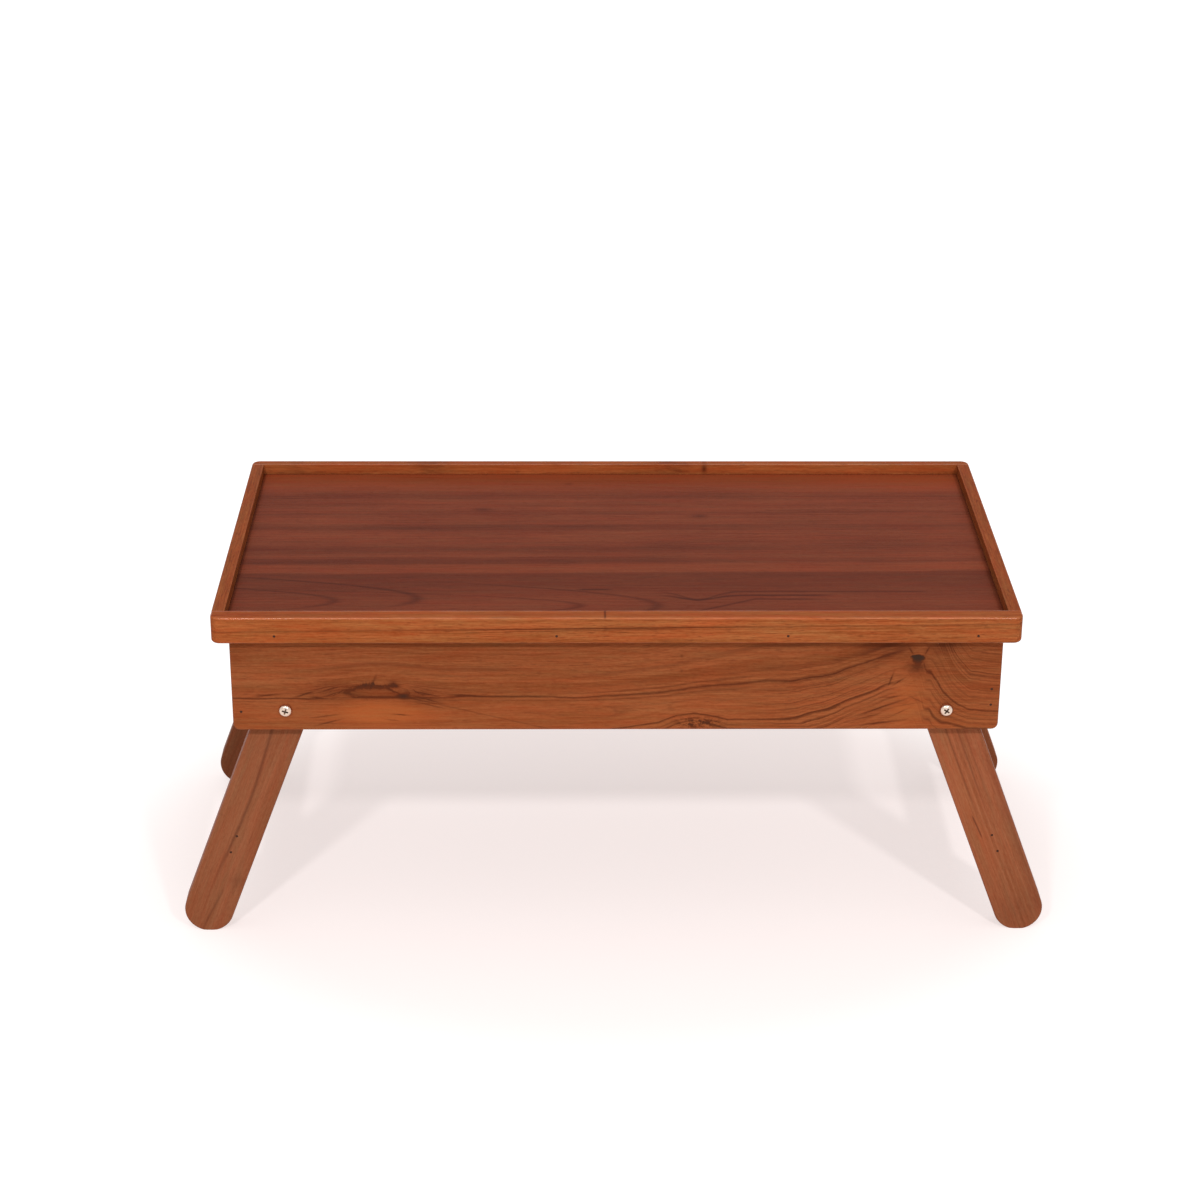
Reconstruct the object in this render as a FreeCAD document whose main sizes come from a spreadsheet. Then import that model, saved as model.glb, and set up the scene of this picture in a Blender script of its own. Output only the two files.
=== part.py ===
import FreeCAD, Part
import os
import re
import Sketcher

# Folding lap desk. A rimmed tray stands on an apron box, and two frames of splayed
# legs turn on screws through the box and fold up inside it.
# +X runs along the tray, -Y is its front and +Z is up. The origin is on the floor,
# under the middle of the tray. Lengths are in millimetres and angles in degrees.

SIZES = {
    # Tray
    "tray_length": 600,
    "tray_depth": 320,
    "desk_height": 280,
    "strip_height": 21.5,
    "front_strip_width": 13,
    "back_strip_width": 9,
    "side_strip_width": 10,
    "recess_depth": 8.5,
    "tray_corner_radius": 4,
    "strip_top_arris": 1.5,
    "strip_bottom_arris": 2.5,
    # Apron box
    "tray_overhang": 12,
    "board_thickness": 13,
    "apron_height": 76.5,
    "apron_corner_radius": 3.5,
    "board_arris": 1.2,
    # Battens that hold the panel to the box
    "batten_size": 14,
    "batten_screw_length": 22,
    "batten_screw_diameter": 3.5,
    "batten_screw_head": 7,
    "batten_screw_head_height": 2.4,
    "batten_screw_point": 4,
    # Pivots
    "pivot_inset": 39.8,
    "pivot_rise": 17,
    "pivot_screw_diameter": 5,
    "pivot_screw_length": 45,
    "pivot_screw_chamfer": 0.7,
    "pivot_head_diameter": 10,
    "pivot_head_height": 3.8,
    "pivot_head_round": 2.7,
    "cross_span": 5.4,
    "cross_width": 1.3,
    "cross_depth": 2.4,
    "spacer_diameter": 15,
    "spacer_thickness": 1,
    "washer_diameter": 10,
    "washer_thickness": 1,
    "nut_across_flats": 8,
    "nut_height": 5,
    "nut_collar_diameter": 7,
    "nut_collar_height": 1.4,
    # Legs and stretchers
    "leg_width": 38,
    "leg_thickness": 20,
    "leg_arris": 1.5,
    "sole_width": 12,
    "stretcher_drop": 131,
    "stretcher_width": 30,
    "stretcher_thickness": 13,
    "stretcher_arris": 1,
    # Nails
    "nail_diameter": 2,
    "nail_set": 0.4,
    "strip_nail_length": 32,
    "apron_nail_length": 34,
    "leg_nail_length": 42,
    "leg_nail_spacing": 15,
    # Clearances
    "running_clearance": 0.05,
    "fixed_clearance": 0.02,
    "side_play": 0.1,
    "stop_gap": 0.1,
    "fold_gap": 0.5,
    "cut_overrun": 5,
}

DERIVED = {
    "panel_length": "tray_length - 2 * side_strip_width",
    "panel_depth": "tray_depth - front_strip_width - back_strip_width",
    "panel_thickness": "strip_height - recess_depth",
    "panel_shift": "(front_strip_width - back_strip_width) / 2",
    "box_length": "tray_length - 2 * tray_overhang",
    "box_depth": "tray_depth - 2 * tray_overhang",
    "underside_height": "desk_height - strip_height",
    "apron_bottom": "underside_height - apron_height",
    "batten_bottom": "underside_height - batten_size",
    "side_board_length": "box_depth - 2 * board_thickness",
    "side_batten_length": "side_board_length - 2 * batten_size",
    "long_batten_length": "box_length - 2 * board_thickness",
    "pivot_height": "apron_bottom + pivot_rise",
    "pivot_across": "box_length / 2 - pivot_inset",
    # A leg stands against the inner lower edge of the side board, which sets its splay.
    "stop_reach": "pivot_inset - board_thickness",
    "leg_splay": "acos((leg_width / 2 + stop_gap) / sqrt(stop_reach ^ 2 + pivot_rise ^ 2))"
                 " - atan(pivot_rise / stop_reach)",
    "foot_rise": "sqrt((leg_width / 2) ^ 2 - (sole_width / 2) ^ 2)",
    "leg_span": "(pivot_height - foot_rise) / cos(leg_splay)",
    "leg_outer": "box_depth / 2 - board_thickness - spacer_thickness - side_play",
    "leg_inner": "leg_outer - leg_thickness",
    # Folded, the foot lies under the batten.
    "fold_room": "apron_height - pivot_rise - batten_size - fold_gap - leg_width / 2",
    "fold_tilt": "asin(fold_room / leg_span)",
}

# Places along each piece, as shares of its half length or of its height.
FRONT_NAIL_SHARES = (-0.843, -0.149, 0.421, 0.890)
SIDE_NAIL_SHARES = (-0.7, 0.0, 0.7)
APRON_LEFT_NAIL_SHARES = (0.20,)
APRON_RIGHT_NAIL_SHARES = (0.27, 0.44)
LONG_BATTEN_SCREW_SHARES = (-0.75, -0.25, 0.25, 0.75)
SIDE_BATTEN_SCREW_SHARES = (-0.5, 0.5)
LEG_NAIL_SHARES = (-0.5, 0.5)

X_AXIS = FreeCAD.Vector(1, 0, 0)
Y_AXIS = FreeCAD.Vector(0, 1, 0)
Z_AXIS = FreeCAD.Vector(0, 0, 1)
SIDES = (("left", -1), ("right", 1))
ENDS = (("front", -1), ("rear", 1))
# How near two lengths count as equal.
TOUCH = 1e-4
# A size or angle that a rule replaces as soon as the thing is made.
UNSET = 1.0

doc = FreeCAD.newDocument("lap_desk")


def make_sheet():
    """The driving sizes as plain numbers, then the sizes that follow from them."""
    cells = [(name, str(number)) for name, number in SIZES.items()]
    cells += [(name, "=" + text) for name, text in DERIVED.items()]
    table = doc.addObject("Spreadsheet::Sheet", "sizes")
    for row, (name, text) in enumerate(cells, start=1):
        table.set("A%d" % row, name)
        table.set("B%d" % row, text)
        table.setAlias("B%d" % row, name)
    doc.recompute()
    return table


sheet = make_sheet()


def size(name):
    cell = getattr(sheet, name)
    return getattr(cell, "Value", cell)


def rule(text):
    """An expression on the sheet, from a text whose words are its aliases."""
    def cell(found):
        word = found.group()
        return "sizes." + word if word in SIZES or word in DERIVED else word

    return re.sub("[a-z_]+", cell, text)


def bind(thing, rules):
    for prop, text in rules.items():
        thing.setExpression(prop, rule(text))


def put(thing, x, y, z, turn=None):
    """Places a sub-part by three rules, and turns it about an axis by a fourth."""
    if turn:
        axis, angle = turn
        thing.Placement = FreeCAD.Placement(FreeCAD.Vector(), FreeCAD.Rotation(axis, UNSET))
        thing.setExpression("Placement.Rotation.Angle", rule(angle))
    bind(thing, {"Placement.Base.x": x, "Placement.Base.y": y, "Placement.Base.z": z})


def sketch_in(body, role, name, lift=None):
    plane = [part for part in body.Origin.OriginFeatures if part.Role == role][0]
    sketch = body.newObject("Sketcher::SketchObject", name)
    sketch.AttachmentSupport = (plane, [""])
    sketch.MapMode = "FlatFace"
    if lift:
        bind(sketch, {"AttachmentOffset.Base.z": lift})
    return sketch


def add_outline(sketch, corners):
    """A closed outline of straight sides, each corner held by two rules."""
    spots = [FreeCAD.Vector(index, index * index, 0) for index in range(len(corners))]
    first = sketch.GeometryCount
    for index, spot in enumerate(spots):
        sketch.addGeometry(Part.LineSegment(spot, spots[(index + 1) % len(spots)]), False)
    for index in range(len(corners)):
        following = first + (index + 1) % len(corners)
        sketch.addConstraint(Sketcher.Constraint("Coincident", first + index, 2, following, 1))
    for index, corner in enumerate(corners):
        for kind, text in zip(("DistanceX", "DistanceY"), corner):
            number = sketch.addConstraint(
                Sketcher.Constraint(kind, -1, 1, first + index, 1, UNSET))
            sketch.setExpression("Constraints[%d]" % number, rule(text))


def add_circle(sketch, radius):
    circle = sketch.addGeometry(Part.Circle(FreeCAD.Vector(), Z_AXIS, UNSET), False)
    sketch.addConstraint(Sketcher.Constraint("Coincident", circle, 3, -1, 1))
    number = sketch.addConstraint(Sketcher.Constraint("Radius", circle, UNSET))
    sketch.setExpression("Constraints[%d]" % number, rule(radius))


def rectangle(width, depth):
    """Corners of a rectangle about the middle of its sketch."""
    across, along = "(%s) / 2" % width, "(%s) / 2" % depth
    return [("0 - " + across, "0 - " + along), (across, "0 - " + along),
            (across, along), ("0 - " + across, along)]


def pad(body, sketch, length, name):
    feature = body.newObject("PartDesign::Pad", name)
    feature.Profile = sketch
    bind(feature, {"Length": length})
    doc.recompute()


def board(name, width, depth, height):
    """A straight board that stands on its own base plane."""
    body = doc.addObject("PartDesign::Body", name + "_board")
    sketch = sketch_in(body, "XY_Plane", name + "_outline")
    add_outline(sketch, rectangle(width, depth))
    pad(body, sketch, height, name + "_pad")
    return body


def round_edges(body, radius, wanted):
    """Rounds the edges of a body's last feature that pass a test."""
    base = body.Tip
    names = ["Edge%d" % (index + 1) for index, edge in enumerate(base.Shape.Edges) if wanted(edge)]
    feature = body.newObject("PartDesign::Fillet", body.Name + "_rounding")
    feature.Base = (base, names)
    bind(feature, {"Radius": radius})
    doc.recompute()


def runs_along(edge, axis):
    ends = [vertex.Point for vertex in edge.Vertexes]
    if len(ends) < 2:
        return False
    step = ends[1].sub(ends[0])
    return step.cross(axis).Length < TOUCH < step.Length


def lies_at(edge, letter, level):
    box = edge.BoundBox
    low, high = getattr(box, letter + "Min"), getattr(box, letter + "Max")
    return abs(low - level) < TOUCH and abs(high - level) < TOUCH


def cut(name, base, tools):
    """A finished wooden piece: its body with the holes of its fasteners."""
    holes = doc.addObject("Part::Feature", name + "_holes")
    holes.Shape = Part.makeCompound(tools)
    piece = doc.addObject("Part::Cut", name)
    piece.Base = base
    piece.Tool = holes
    piece.Label = name
    doc.recompute()
    return piece


def toward(spot, direction):
    """A fastener's place: its head's seat at the spot, its point towards the direction."""
    return FreeCAD.Placement(FreeCAD.Vector(*spot), FreeCAD.Rotation(Z_AXIS, direction))


def bore(place, radius, depth):
    """A round hole from just outside a fastener's seat to its full depth."""
    start = -size("cut_overrun")
    hole = Part.makeCylinder(radius, depth - start, FreeCAD.Vector(0, 0, start))
    hole.Placement = place
    return hole


def nail_hole(place, length):
    clearance = size("fixed_clearance")
    return bore(place, size("nail_diameter") / 2 + clearance, size(length) + clearance)


def pivot_hole(place):
    return bore(place, size("pivot_screw_diameter") / 2 + size("running_clearance"),
                size("pivot_screw_length"))


def batten_screw_hole(place):
    """The screw's own form, a clearance larger all over."""
    clearance = size("fixed_clearance")
    head, neck = size("batten_screw_head") / 2, size("batten_screw_diameter") / 2
    deep = size("batten_screw_head_height")
    sink = Part.makeCone(head + clearance, neck + clearance, deep + clearance)
    sink.Placement = place
    return sink.fuse(bore(place, neck + clearance, size("batten_screw_length") + clearance))


def group(name, master, places):
    """One node of identical fasteners, each a separate solid."""
    solids = []
    for place in places:
        copy = master.Shape.copy()
        copy.Placement = place
        solids.append(copy)
    node = doc.addObject("Part::Feature", name)
    node.Shape = Part.makeCompound(solids)
    node.Label = name
    return node


nodes = []

# Places of the nails. Each strip is nailed through its outer face into the panel's edge,
# and the long aprons into the ends of the side boards.
half_length, half_depth = size("tray_length") / 2, size("tray_depth") / 2
panel_middle = size("underside_height") + size("panel_thickness") / 2
strip_nails = {
    "front_strip": [toward((share * half_length, -half_depth, panel_middle), Y_AXIS)
                    for share in FRONT_NAIL_SHARES],
    "back_strip": [toward((share * half_length, half_depth, panel_middle), -Y_AXIS)
                   for share in FRONT_NAIL_SHARES],
}
for side, sign in SIDES:
    strip_nails[side + "_strip"] = [
        toward((sign * half_length, size("panel_shift") + share * size("panel_depth") / 2,
                panel_middle), X_AXIS * -sign)
        for share in SIDE_NAIL_SHARES]

apron_nails = {}
box_end = size("box_length") / 2 - size("board_thickness") / 2
for board_name, sign in (("front_apron", -1), ("back_apron", 1)):
    for side, side_sign, shares in (("left", -1, APRON_LEFT_NAIL_SHARES),
                                    ("right", 1, APRON_RIGHT_NAIL_SHARES)):
        apron_nails[board_name, side] = [
            toward((side_sign * box_end, sign * size("box_depth") / 2,
                    size("apron_bottom") + share * size("apron_height")), Y_AXIS * -sign)
            for share in shares]

# Places of the screws that hold the battens up to the panel.
batten_middle = size("box_depth") / 2 - size("board_thickness") - size("batten_size") / 2
batten_across = size("box_length") / 2 - size("board_thickness") - size("batten_size") / 2
batten_screws = {}
for name, sign in (("front_batten", -1), ("back_batten", 1)):
    batten_screws[name] = [
        toward((share * size("long_batten_length") / 2, sign * batten_middle,
                size("batten_bottom")), Z_AXIS)
        for share in LONG_BATTEN_SCREW_SHARES]
for side, sign in SIDES:
    batten_screws[side + "_batten"] = [
        toward((sign * batten_across, share * size("side_batten_length") / 2,
                size("batten_bottom")), Z_AXIS)
        for share in SIDE_BATTEN_SCREW_SHARES]

# Places of the pivots: the seat of each screw's head on the outer face of a long apron.
pivots = {}
for end, end_sign in ENDS:
    for side, sign in SIDES:
        pivots[end, side] = toward(
            (sign * size("pivot_across"), end_sign * size("box_depth") / 2,
             size("pivot_height")), Y_AXIS * -end_sign)


def leg_spot(sign, down, y):
    """A point on the middle line of a splayed leg, so far down from its pivot."""
    lean = FreeCAD.Rotation(Y_AXIS, -sign * size("leg_splay"))
    spot = lean.multVec(Z_AXIS * -down)
    return (sign * size("pivot_across") + spot.x, y, size("pivot_height") + spot.z)


leg_nails = {}
for side, sign in SIDES:
    for end, end_sign in ENDS:
        leg_nails[side, end] = [
            toward(leg_spot(sign, size("stretcher_drop") + share * size("leg_nail_spacing"),
                            end_sign * size("leg_outer")), Y_AXIS * -end_sign)
            for share in LEG_NAIL_SHARES]


def make_panel():
    """The panel lies between the strips, flush with their undersides."""
    body = board("tray_panel", "panel_length", "panel_depth", "panel_thickness")
    put(body, "0", "panel_shift", "underside_height")
    holes = [nail_hole(place, "strip_nail_length")
             for places in strip_nails.values() for place in places]
    holes += [batten_screw_hole(place) for places in batten_screws.values() for place in places]
    nodes.append(cut("tray_panel", body, holes))


def make_long_strips():
    """Front and back strips run the whole length and round the tray's corners."""
    for name, width, sign in (("front_strip", "front_strip_width", -1),
                              ("back_strip", "back_strip_width", 1)):
        inner = -sign * size(width) / 2
        body = board(name, "tray_length", width, "strip_height")
        round_edges(body, "tray_corner_radius", lambda edge: runs_along(edge, Z_AXIS)
                    and not lies_at(edge, "Y", inner))
        for radius, level in (("strip_top_arris", size("strip_height")),
                              ("strip_bottom_arris", 0)):
            round_edges(body, radius, lambda edge: lies_at(edge, "Z", level)
                        and not lies_at(edge, "Y", inner))
        put(body, "0", "%d * (tray_depth - %s) / 2" % (sign, width), "underside_height")
        holes = [nail_hole(place, "strip_nail_length") for place in strip_nails[name]]
        nodes.append(cut(name, body, holes))


def make_side_strips():
    """Side strips stand between the front and back strips."""
    for side, sign in SIDES:
        name = side + "_strip"
        outer = sign * size("side_strip_width") / 2
        body = board(name, "side_strip_width", "panel_depth", "strip_height")
        for radius, level in (("strip_top_arris", size("strip_height")),
                              ("strip_bottom_arris", 0)):
            round_edges(body, radius, lambda edge: runs_along(edge, Y_AXIS)
                        and lies_at(edge, "Z", level) and lies_at(edge, "X", outer))
        put(body, "%d * (tray_length - side_strip_width) / 2" % sign, "panel_shift",
            "underside_height")
        holes = [nail_hole(place, "strip_nail_length") for place in strip_nails[name]]
        nodes.append(cut(name, body, holes))


def make_long_aprons():
    """Front and back aprons cover the ends of the side boards and carry the pivots."""
    for name, end, sign in (("front_apron", "front", -1), ("back_apron", "rear", 1)):
        outer = sign * size("board_thickness") / 2
        body = board(name, "box_length", "board_thickness", "apron_height")
        round_edges(body, "apron_corner_radius",
                    lambda edge: runs_along(edge, Y_AXIS) and lies_at(edge, "Z", 0))
        round_edges(body, "board_arris", lambda edge: lies_at(edge, "Y", outer)
                    and not lies_at(edge, "Z", size("apron_height")))
        put(body, "0", "%d * (box_depth - board_thickness) / 2" % sign, "apron_bottom")
        holes = [pivot_hole(pivots[end, side]) for side, _ in SIDES]
        holes += [nail_hole(place, "apron_nail_length")
                  for side, _ in SIDES for place in apron_nails[name, side]]
        nodes.append(cut(name, body, holes))


def make_side_aprons():
    """Side boards stand between the long aprons. Their sharp inner edge stops the legs."""
    for side, sign in SIDES:
        name = side + "_apron"
        outer = sign * size("board_thickness") / 2
        body = board(name, "board_thickness", "side_board_length", "apron_height")
        round_edges(body, "apron_corner_radius", lambda edge: runs_along(edge, Y_AXIS)
                    and lies_at(edge, "Z", 0) and lies_at(edge, "X", outer))
        put(body, "%d * (box_length - board_thickness) / 2" % sign, "0", "apron_bottom")
        holes = [nail_hole(place, "apron_nail_length")
                 for end in ("front_apron", "back_apron") for place in apron_nails[end, side]]
        nodes.append(cut(name, body, holes))


def make_battens():
    """Battens line the top of the box, glued to it and screwed up into the panel."""
    for end, sign in (("front", -1), ("back", 1)):
        name = end + "_batten"
        body = board(name, "long_batten_length", "batten_size", "batten_size")
        put(body, "0", "%d * (box_depth / 2 - board_thickness - batten_size / 2)" % sign,
            "batten_bottom")
        nodes.append(cut(name, body, [batten_screw_hole(place) for place in batten_screws[name]]))
    for side, sign in SIDES:
        name = side + "_batten"
        body = board(name, "batten_size", "side_batten_length", "batten_size")
        put(body, "%d * (box_length / 2 - board_thickness - batten_size / 2)" % sign, "0",
            "batten_bottom")
        nodes.append(cut(name, body, [batten_screw_hole(place) for place in batten_screws[name]]))


def turned(name, corners):
    """A solid of revolution about +Z, from corners given as radius and height."""
    body = doc.addObject("PartDesign::Body", name)
    sketch = sketch_in(body, "XZ_Plane", name + "_profile")
    add_outline(sketch, corners)
    feature = body.newObject("PartDesign::Revolution", name + "_turning")
    feature.Profile = sketch
    feature.ReferenceAxis = (sketch, ["V_Axis"])
    feature.Angle = 360
    doc.recompute()
    return body


def make_nails():
    """Lost-head nails, their tops set just under the surface."""
    for name, length, places in (
            ("strip_nails", "strip_nail_length", [p for row in strip_nails.values() for p in row]),
            ("apron_nails", "apron_nail_length", [p for row in apron_nails.values() for p in row]),
            ("left_leg_nails", "leg_nail_length",
             [p for end, _ in ENDS for p in leg_nails["left", end]]),
            ("right_leg_nails", "leg_nail_length",
             [p for end, _ in ENDS for p in leg_nails["right", end]])):
        master = turned(name + "_pattern", [
            ("0", "nail_set"), ("nail_diameter / 2", "nail_set"),
            ("nail_diameter / 2", length + " - nail_diameter"), ("0", length)])
        nodes.append(group(name, master, places))


def make_batten_screws():
    """Countersunk wood screws, flush with the undersides of the battens."""
    master = turned("batten_screw_pattern", [
        ("0", "0"), ("batten_screw_head / 2", "0"),
        ("batten_screw_diameter / 2", "batten_screw_head_height"),
        ("batten_screw_diameter / 2", "batten_screw_length - batten_screw_point"),
        ("0", "batten_screw_length")])
    places = [place for row in batten_screws.values() for place in row]
    nodes.append(group("batten_screws", master, places))


def cross_outline():
    """Corners of a cross with four equal arms."""
    arm, half = "cross_span / 2", "cross_width / 2"
    quarter = [(arm, half), (half, half), (half, arm)]
    corners = []
    for across, along in ((1, 1), (-1, 1), (-1, -1), (1, -1)):
        part = quarter if across * along > 0 else list(reversed(quarter))
        corners += [("%d * (%s)" % (across, x), "%d * (%s)" % (along, y)) for x, y in part]
    return corners


def face_inward(thing, end_sign):
    """Turns a piece that stands on +Z so that it points into the box."""
    thing.Placement = FreeCAD.Placement(
        FreeCAD.Vector(), FreeCAD.Rotation(Z_AXIS, Y_AXIS * -end_sign))


def make_pivot_screws():
    """Pan-head machine screws, head outside and shank through apron, leg and nut."""
    for end, end_sign in ENDS:
        for side, sign in SIDES:
            name = "%s_%s_pivot_screw" % (end, side)
            body = turned(name, [
                ("0", "0 - pivot_head_height"), ("pivot_head_diameter / 2", "0 - pivot_head_height"),
                ("pivot_head_diameter / 2", "0"), ("pivot_screw_diameter / 2", "0"),
                ("pivot_screw_diameter / 2", "pivot_screw_length - pivot_screw_chamfer"),
                ("pivot_screw_diameter / 2 - pivot_screw_chamfer", "pivot_screw_length"),
                ("0", "pivot_screw_length")])
            top = -size("pivot_head_height")
            round_edges(body, "pivot_head_round",
                        lambda edge: lies_at(edge, "Z", top) and not runs_along(edge, X_AXIS))
            sketch = sketch_in(body, "XY_Plane", name + "_cross", "0 - pivot_head_height")
            add_outline(sketch, cross_outline())
            recess = body.newObject("PartDesign::Pocket", name + "_recess")
            recess.Profile = sketch
            recess.Reversed = True
            bind(recess, {"Length": "cross_depth"})
            face_inward(body, end_sign)
            put(body, "%d * pivot_across" % sign, "%d * box_depth / 2" % end_sign, "pivot_height")
            body.Label = name
            nodes.append(body)


def make_ring(name, outer, inner, height):
    body = doc.addObject("PartDesign::Body", name)
    sketch = sketch_in(body, "XY_Plane", name + "_outline")
    add_circle(sketch, outer)
    add_circle(sketch, inner)
    pad(body, sketch, height, name + "_pad")
    return body


def make_pivot_washers_and_nuts():
    """On each screw, from outside in: apron, spacer, leg, washer and lock nut."""
    bore_rule = "pivot_screw_diameter / 2 + running_clearance"
    nut_rule = "pivot_screw_diameter / 2 + fixed_clearance"
    for end, end_sign in ENDS:
        for side, sign in SIDES:
            tag = "%s_%s_" % (end, side)
            spacer = make_ring(tag + "spacer", "spacer_diameter / 2", bore_rule,
                               "spacer_thickness")
            washer = make_ring(tag + "washer", "washer_diameter / 2", bore_rule,
                               "washer_thickness")
            nut = doc.addObject("PartDesign::Body", tag + "lock_nut")
            hexagon = sketch_in(nut, "XY_Plane", tag + "nut_outline")
            flat, corner = "nut_across_flats / 2", "nut_across_flats / sqrt(3)"
            add_outline(hexagon, [
                (flat, "0 - %s / 2" % corner), (flat, corner + " / 2"), ("0", corner),
                ("0 - " + flat, corner + " / 2"), ("0 - " + flat, "0 - %s / 2" % corner),
                ("0", "0 - " + corner)])
            add_circle(hexagon, nut_rule)
            pad(nut, hexagon, "nut_height - nut_collar_height", tag + "nut_pad")
            collar = sketch_in(nut, "XY_Plane", tag + "collar_outline",
                               "nut_height - nut_collar_height")
            add_circle(collar, "nut_collar_diameter / 2")
            add_circle(collar, nut_rule)
            pad(nut, collar, "nut_collar_height", tag + "collar_pad")
            seats = ((spacer, "box_depth / 2 - board_thickness"),
                     (washer, "leg_inner - side_play"),
                     (nut, "leg_inner - side_play - washer_thickness"))
            for piece, seat in seats:
                face_inward(piece, end_sign)
                put(piece, "%d * pivot_across" % sign, "%d * (%s)" % (end_sign, seat),
                    "pivot_height")
                piece.Label = piece.Name
                nodes.append(piece)


def leg_body(name, side_sign, end_sign):
    """A leg with a round knuckle about its pivot and a round foot."""
    body = doc.addObject("PartDesign::Body", name + "_board")
    lift = "leg_inner" if end_sign < 0 else "0 - leg_outer"
    sketch = sketch_in(body, "XZ_Plane", name + "_outline", lift)
    radius, span = size("leg_width") / 2, size("leg_span")
    foot = FreeCAD.Vector(0, -span, 0)
    right, left = FreeCAD.Vector(radius, 0, 0), FreeCAD.Vector(-radius, 0, 0)
    over, under = FreeCAD.Vector(0, radius, 0), FreeCAD.Vector(0, -radius, 0)
    shapes = [Part.Arc(right, over, left), Part.LineSegment(left, foot + left),
              Part.Arc(foot + left, foot + under, foot + right),
              Part.LineSegment(foot + right, right)]
    knuckle, outer, sole, inner = [sketch.addGeometry(shape, False) for shape in shapes]
    for first, first_end, second, second_end in (
            (knuckle, 2, outer, 1), (outer, 2, sole, 1), (sole, 2, inner, 1),
            (inner, 2, knuckle, 1)):
        sketch.addConstraint(
            Sketcher.Constraint("Tangent", first, first_end, second, second_end))
    sketch.addConstraint(Sketcher.Constraint("Coincident", knuckle, 3, -1, 1))
    sketch.addConstraint(Sketcher.Constraint("PointOnObject", sole, 3, -2))
    sketch.addConstraint(Sketcher.Constraint("Vertical", outer))
    for constraint, text in (
            (Sketcher.Constraint("Radius", knuckle, radius), "leg_width / 2"),
            (Sketcher.Constraint("DistanceY", sole, 3, -1, 1, span), "leg_span")):
        number = sketch.addConstraint(constraint)
        sketch.setExpression("Constraints[%d]" % number, rule(text))
    pad(body, sketch, "leg_thickness", name + "_pad")
    round_edges(body, "leg_arris", lambda edge: not runs_along(edge, Y_AXIS))
    put(body, "%d * pivot_across" % side_sign, "0", "pivot_height",
        (Y_AXIS * -side_sign, "leg_splay"))
    return body


def make_legs():
    """Two legs and a stretcher turn as one frame. The floor cuts each foot flat."""
    reach = size("tray_length")
    floor = Part.makeBox(2 * reach, 2 * reach, reach, FreeCAD.Vector(-reach, -reach, -reach))
    for side, sign in SIDES:
        for end, end_sign in ENDS:
            name = "%s_%s_leg" % (side, end)
            body = leg_body(name, sign, end_sign)
            holes = [floor, pivot_hole(pivots[end, side])]
            holes += [nail_hole(place, "leg_nail_length") for place in leg_nails[side, end]]
            nodes.append(cut(name, body, holes))
        name = side + "_stretcher"
        body = board(name, "stretcher_thickness", "2 * leg_inner", "stretcher_width")
        round_edges(body, "stretcher_arris", lambda edge: runs_along(edge, Y_AXIS))
        low = "(stretcher_drop + stretcher_width / 2)"
        put(body, "%d * (pivot_across + %s * sin(leg_splay))" % (sign, low), "0",
            "pivot_height - %s * cos(leg_splay)" % low, (Y_AXIS * -sign, "leg_splay"))
        holes = [nail_hole(place, "leg_nail_length")
                 for end, _ in ENDS for place in leg_nails[side, end]]
        nodes.append(cut(name, body, holes))


make_panel()
make_long_strips()
make_side_strips()
make_long_aprons()
make_side_aprons()
make_battens()
make_batten_screws()
make_pivot_screws()
make_pivot_washers_and_nuts()
make_legs()
make_nails()
doc.recompute()

for thing in doc.Objects:
    if "Invalid" in thing.State or "Error" in thing.State:
        raise RuntimeError("%s failed: %s" % (thing.Name, thing.State))
for node in nodes:
    if node.Shape.isNull() or not node.Shape.isValid():
        raise RuntimeError("%s has no valid shape" % node.Label)

os.makedirs("parts", exist_ok=True)
for node in nodes:
    node.Shape.exportStep("parts/%s.step" % node.Label)

whole = Part.makeCompound([node.Shape for node in nodes])
fold = size("leg_splay") + 90 + size("fold_tilt")
print("nodes", len(nodes), "solids", len(whole.Solids))
print("splay", size("leg_splay"), "fold", fold, "span", size("leg_span"))
print("box", whole.BoundBox)
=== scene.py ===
import math

import bmesh
import bpy
import numpy as np
from mathutils import Matrix, Vector


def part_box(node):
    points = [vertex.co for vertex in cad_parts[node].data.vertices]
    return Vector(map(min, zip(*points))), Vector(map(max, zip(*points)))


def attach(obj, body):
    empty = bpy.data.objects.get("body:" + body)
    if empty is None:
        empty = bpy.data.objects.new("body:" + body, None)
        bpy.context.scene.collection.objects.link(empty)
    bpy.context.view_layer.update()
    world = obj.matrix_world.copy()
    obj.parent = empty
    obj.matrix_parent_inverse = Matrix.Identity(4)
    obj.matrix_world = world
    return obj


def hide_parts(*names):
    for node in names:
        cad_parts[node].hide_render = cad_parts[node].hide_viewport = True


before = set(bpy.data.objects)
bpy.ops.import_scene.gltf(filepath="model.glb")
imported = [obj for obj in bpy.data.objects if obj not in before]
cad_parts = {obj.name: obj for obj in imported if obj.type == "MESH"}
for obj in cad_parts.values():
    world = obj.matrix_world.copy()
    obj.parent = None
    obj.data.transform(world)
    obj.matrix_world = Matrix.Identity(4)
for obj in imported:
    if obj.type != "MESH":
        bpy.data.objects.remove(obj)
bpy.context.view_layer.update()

bl_info = {
    "name": "Folding Lap Desk",
    "version": (1, 0, 0),
    "blender": (4, 5, 0),
    "location": "3D View > Sidebar > Lap Desk",
    "description": "Dresses a folding wooden lap desk: figured wood, softened edges and fasteners",
    "category": "Add Mesh",
}

MM = 0.001
DESK = "desk"
SIDES = (("left", -1), ("right", 1))
ENDS = (("front", -1), ("rear", 1))
LONG_APRONS = ("front_apron", "back_apron")
STRIPS = ("front_strip", "back_strip", "left_strip", "right_strip")
DOWN = (0, 0, -1)
TOUCH = 1e-6
ON_FLOOR = 1e-5
SMOOTH_ANGLE = math.radians(38)
# The largest turn, in radians, of a fastener that may stand any way.
ANY_TURN = 6.0

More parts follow.
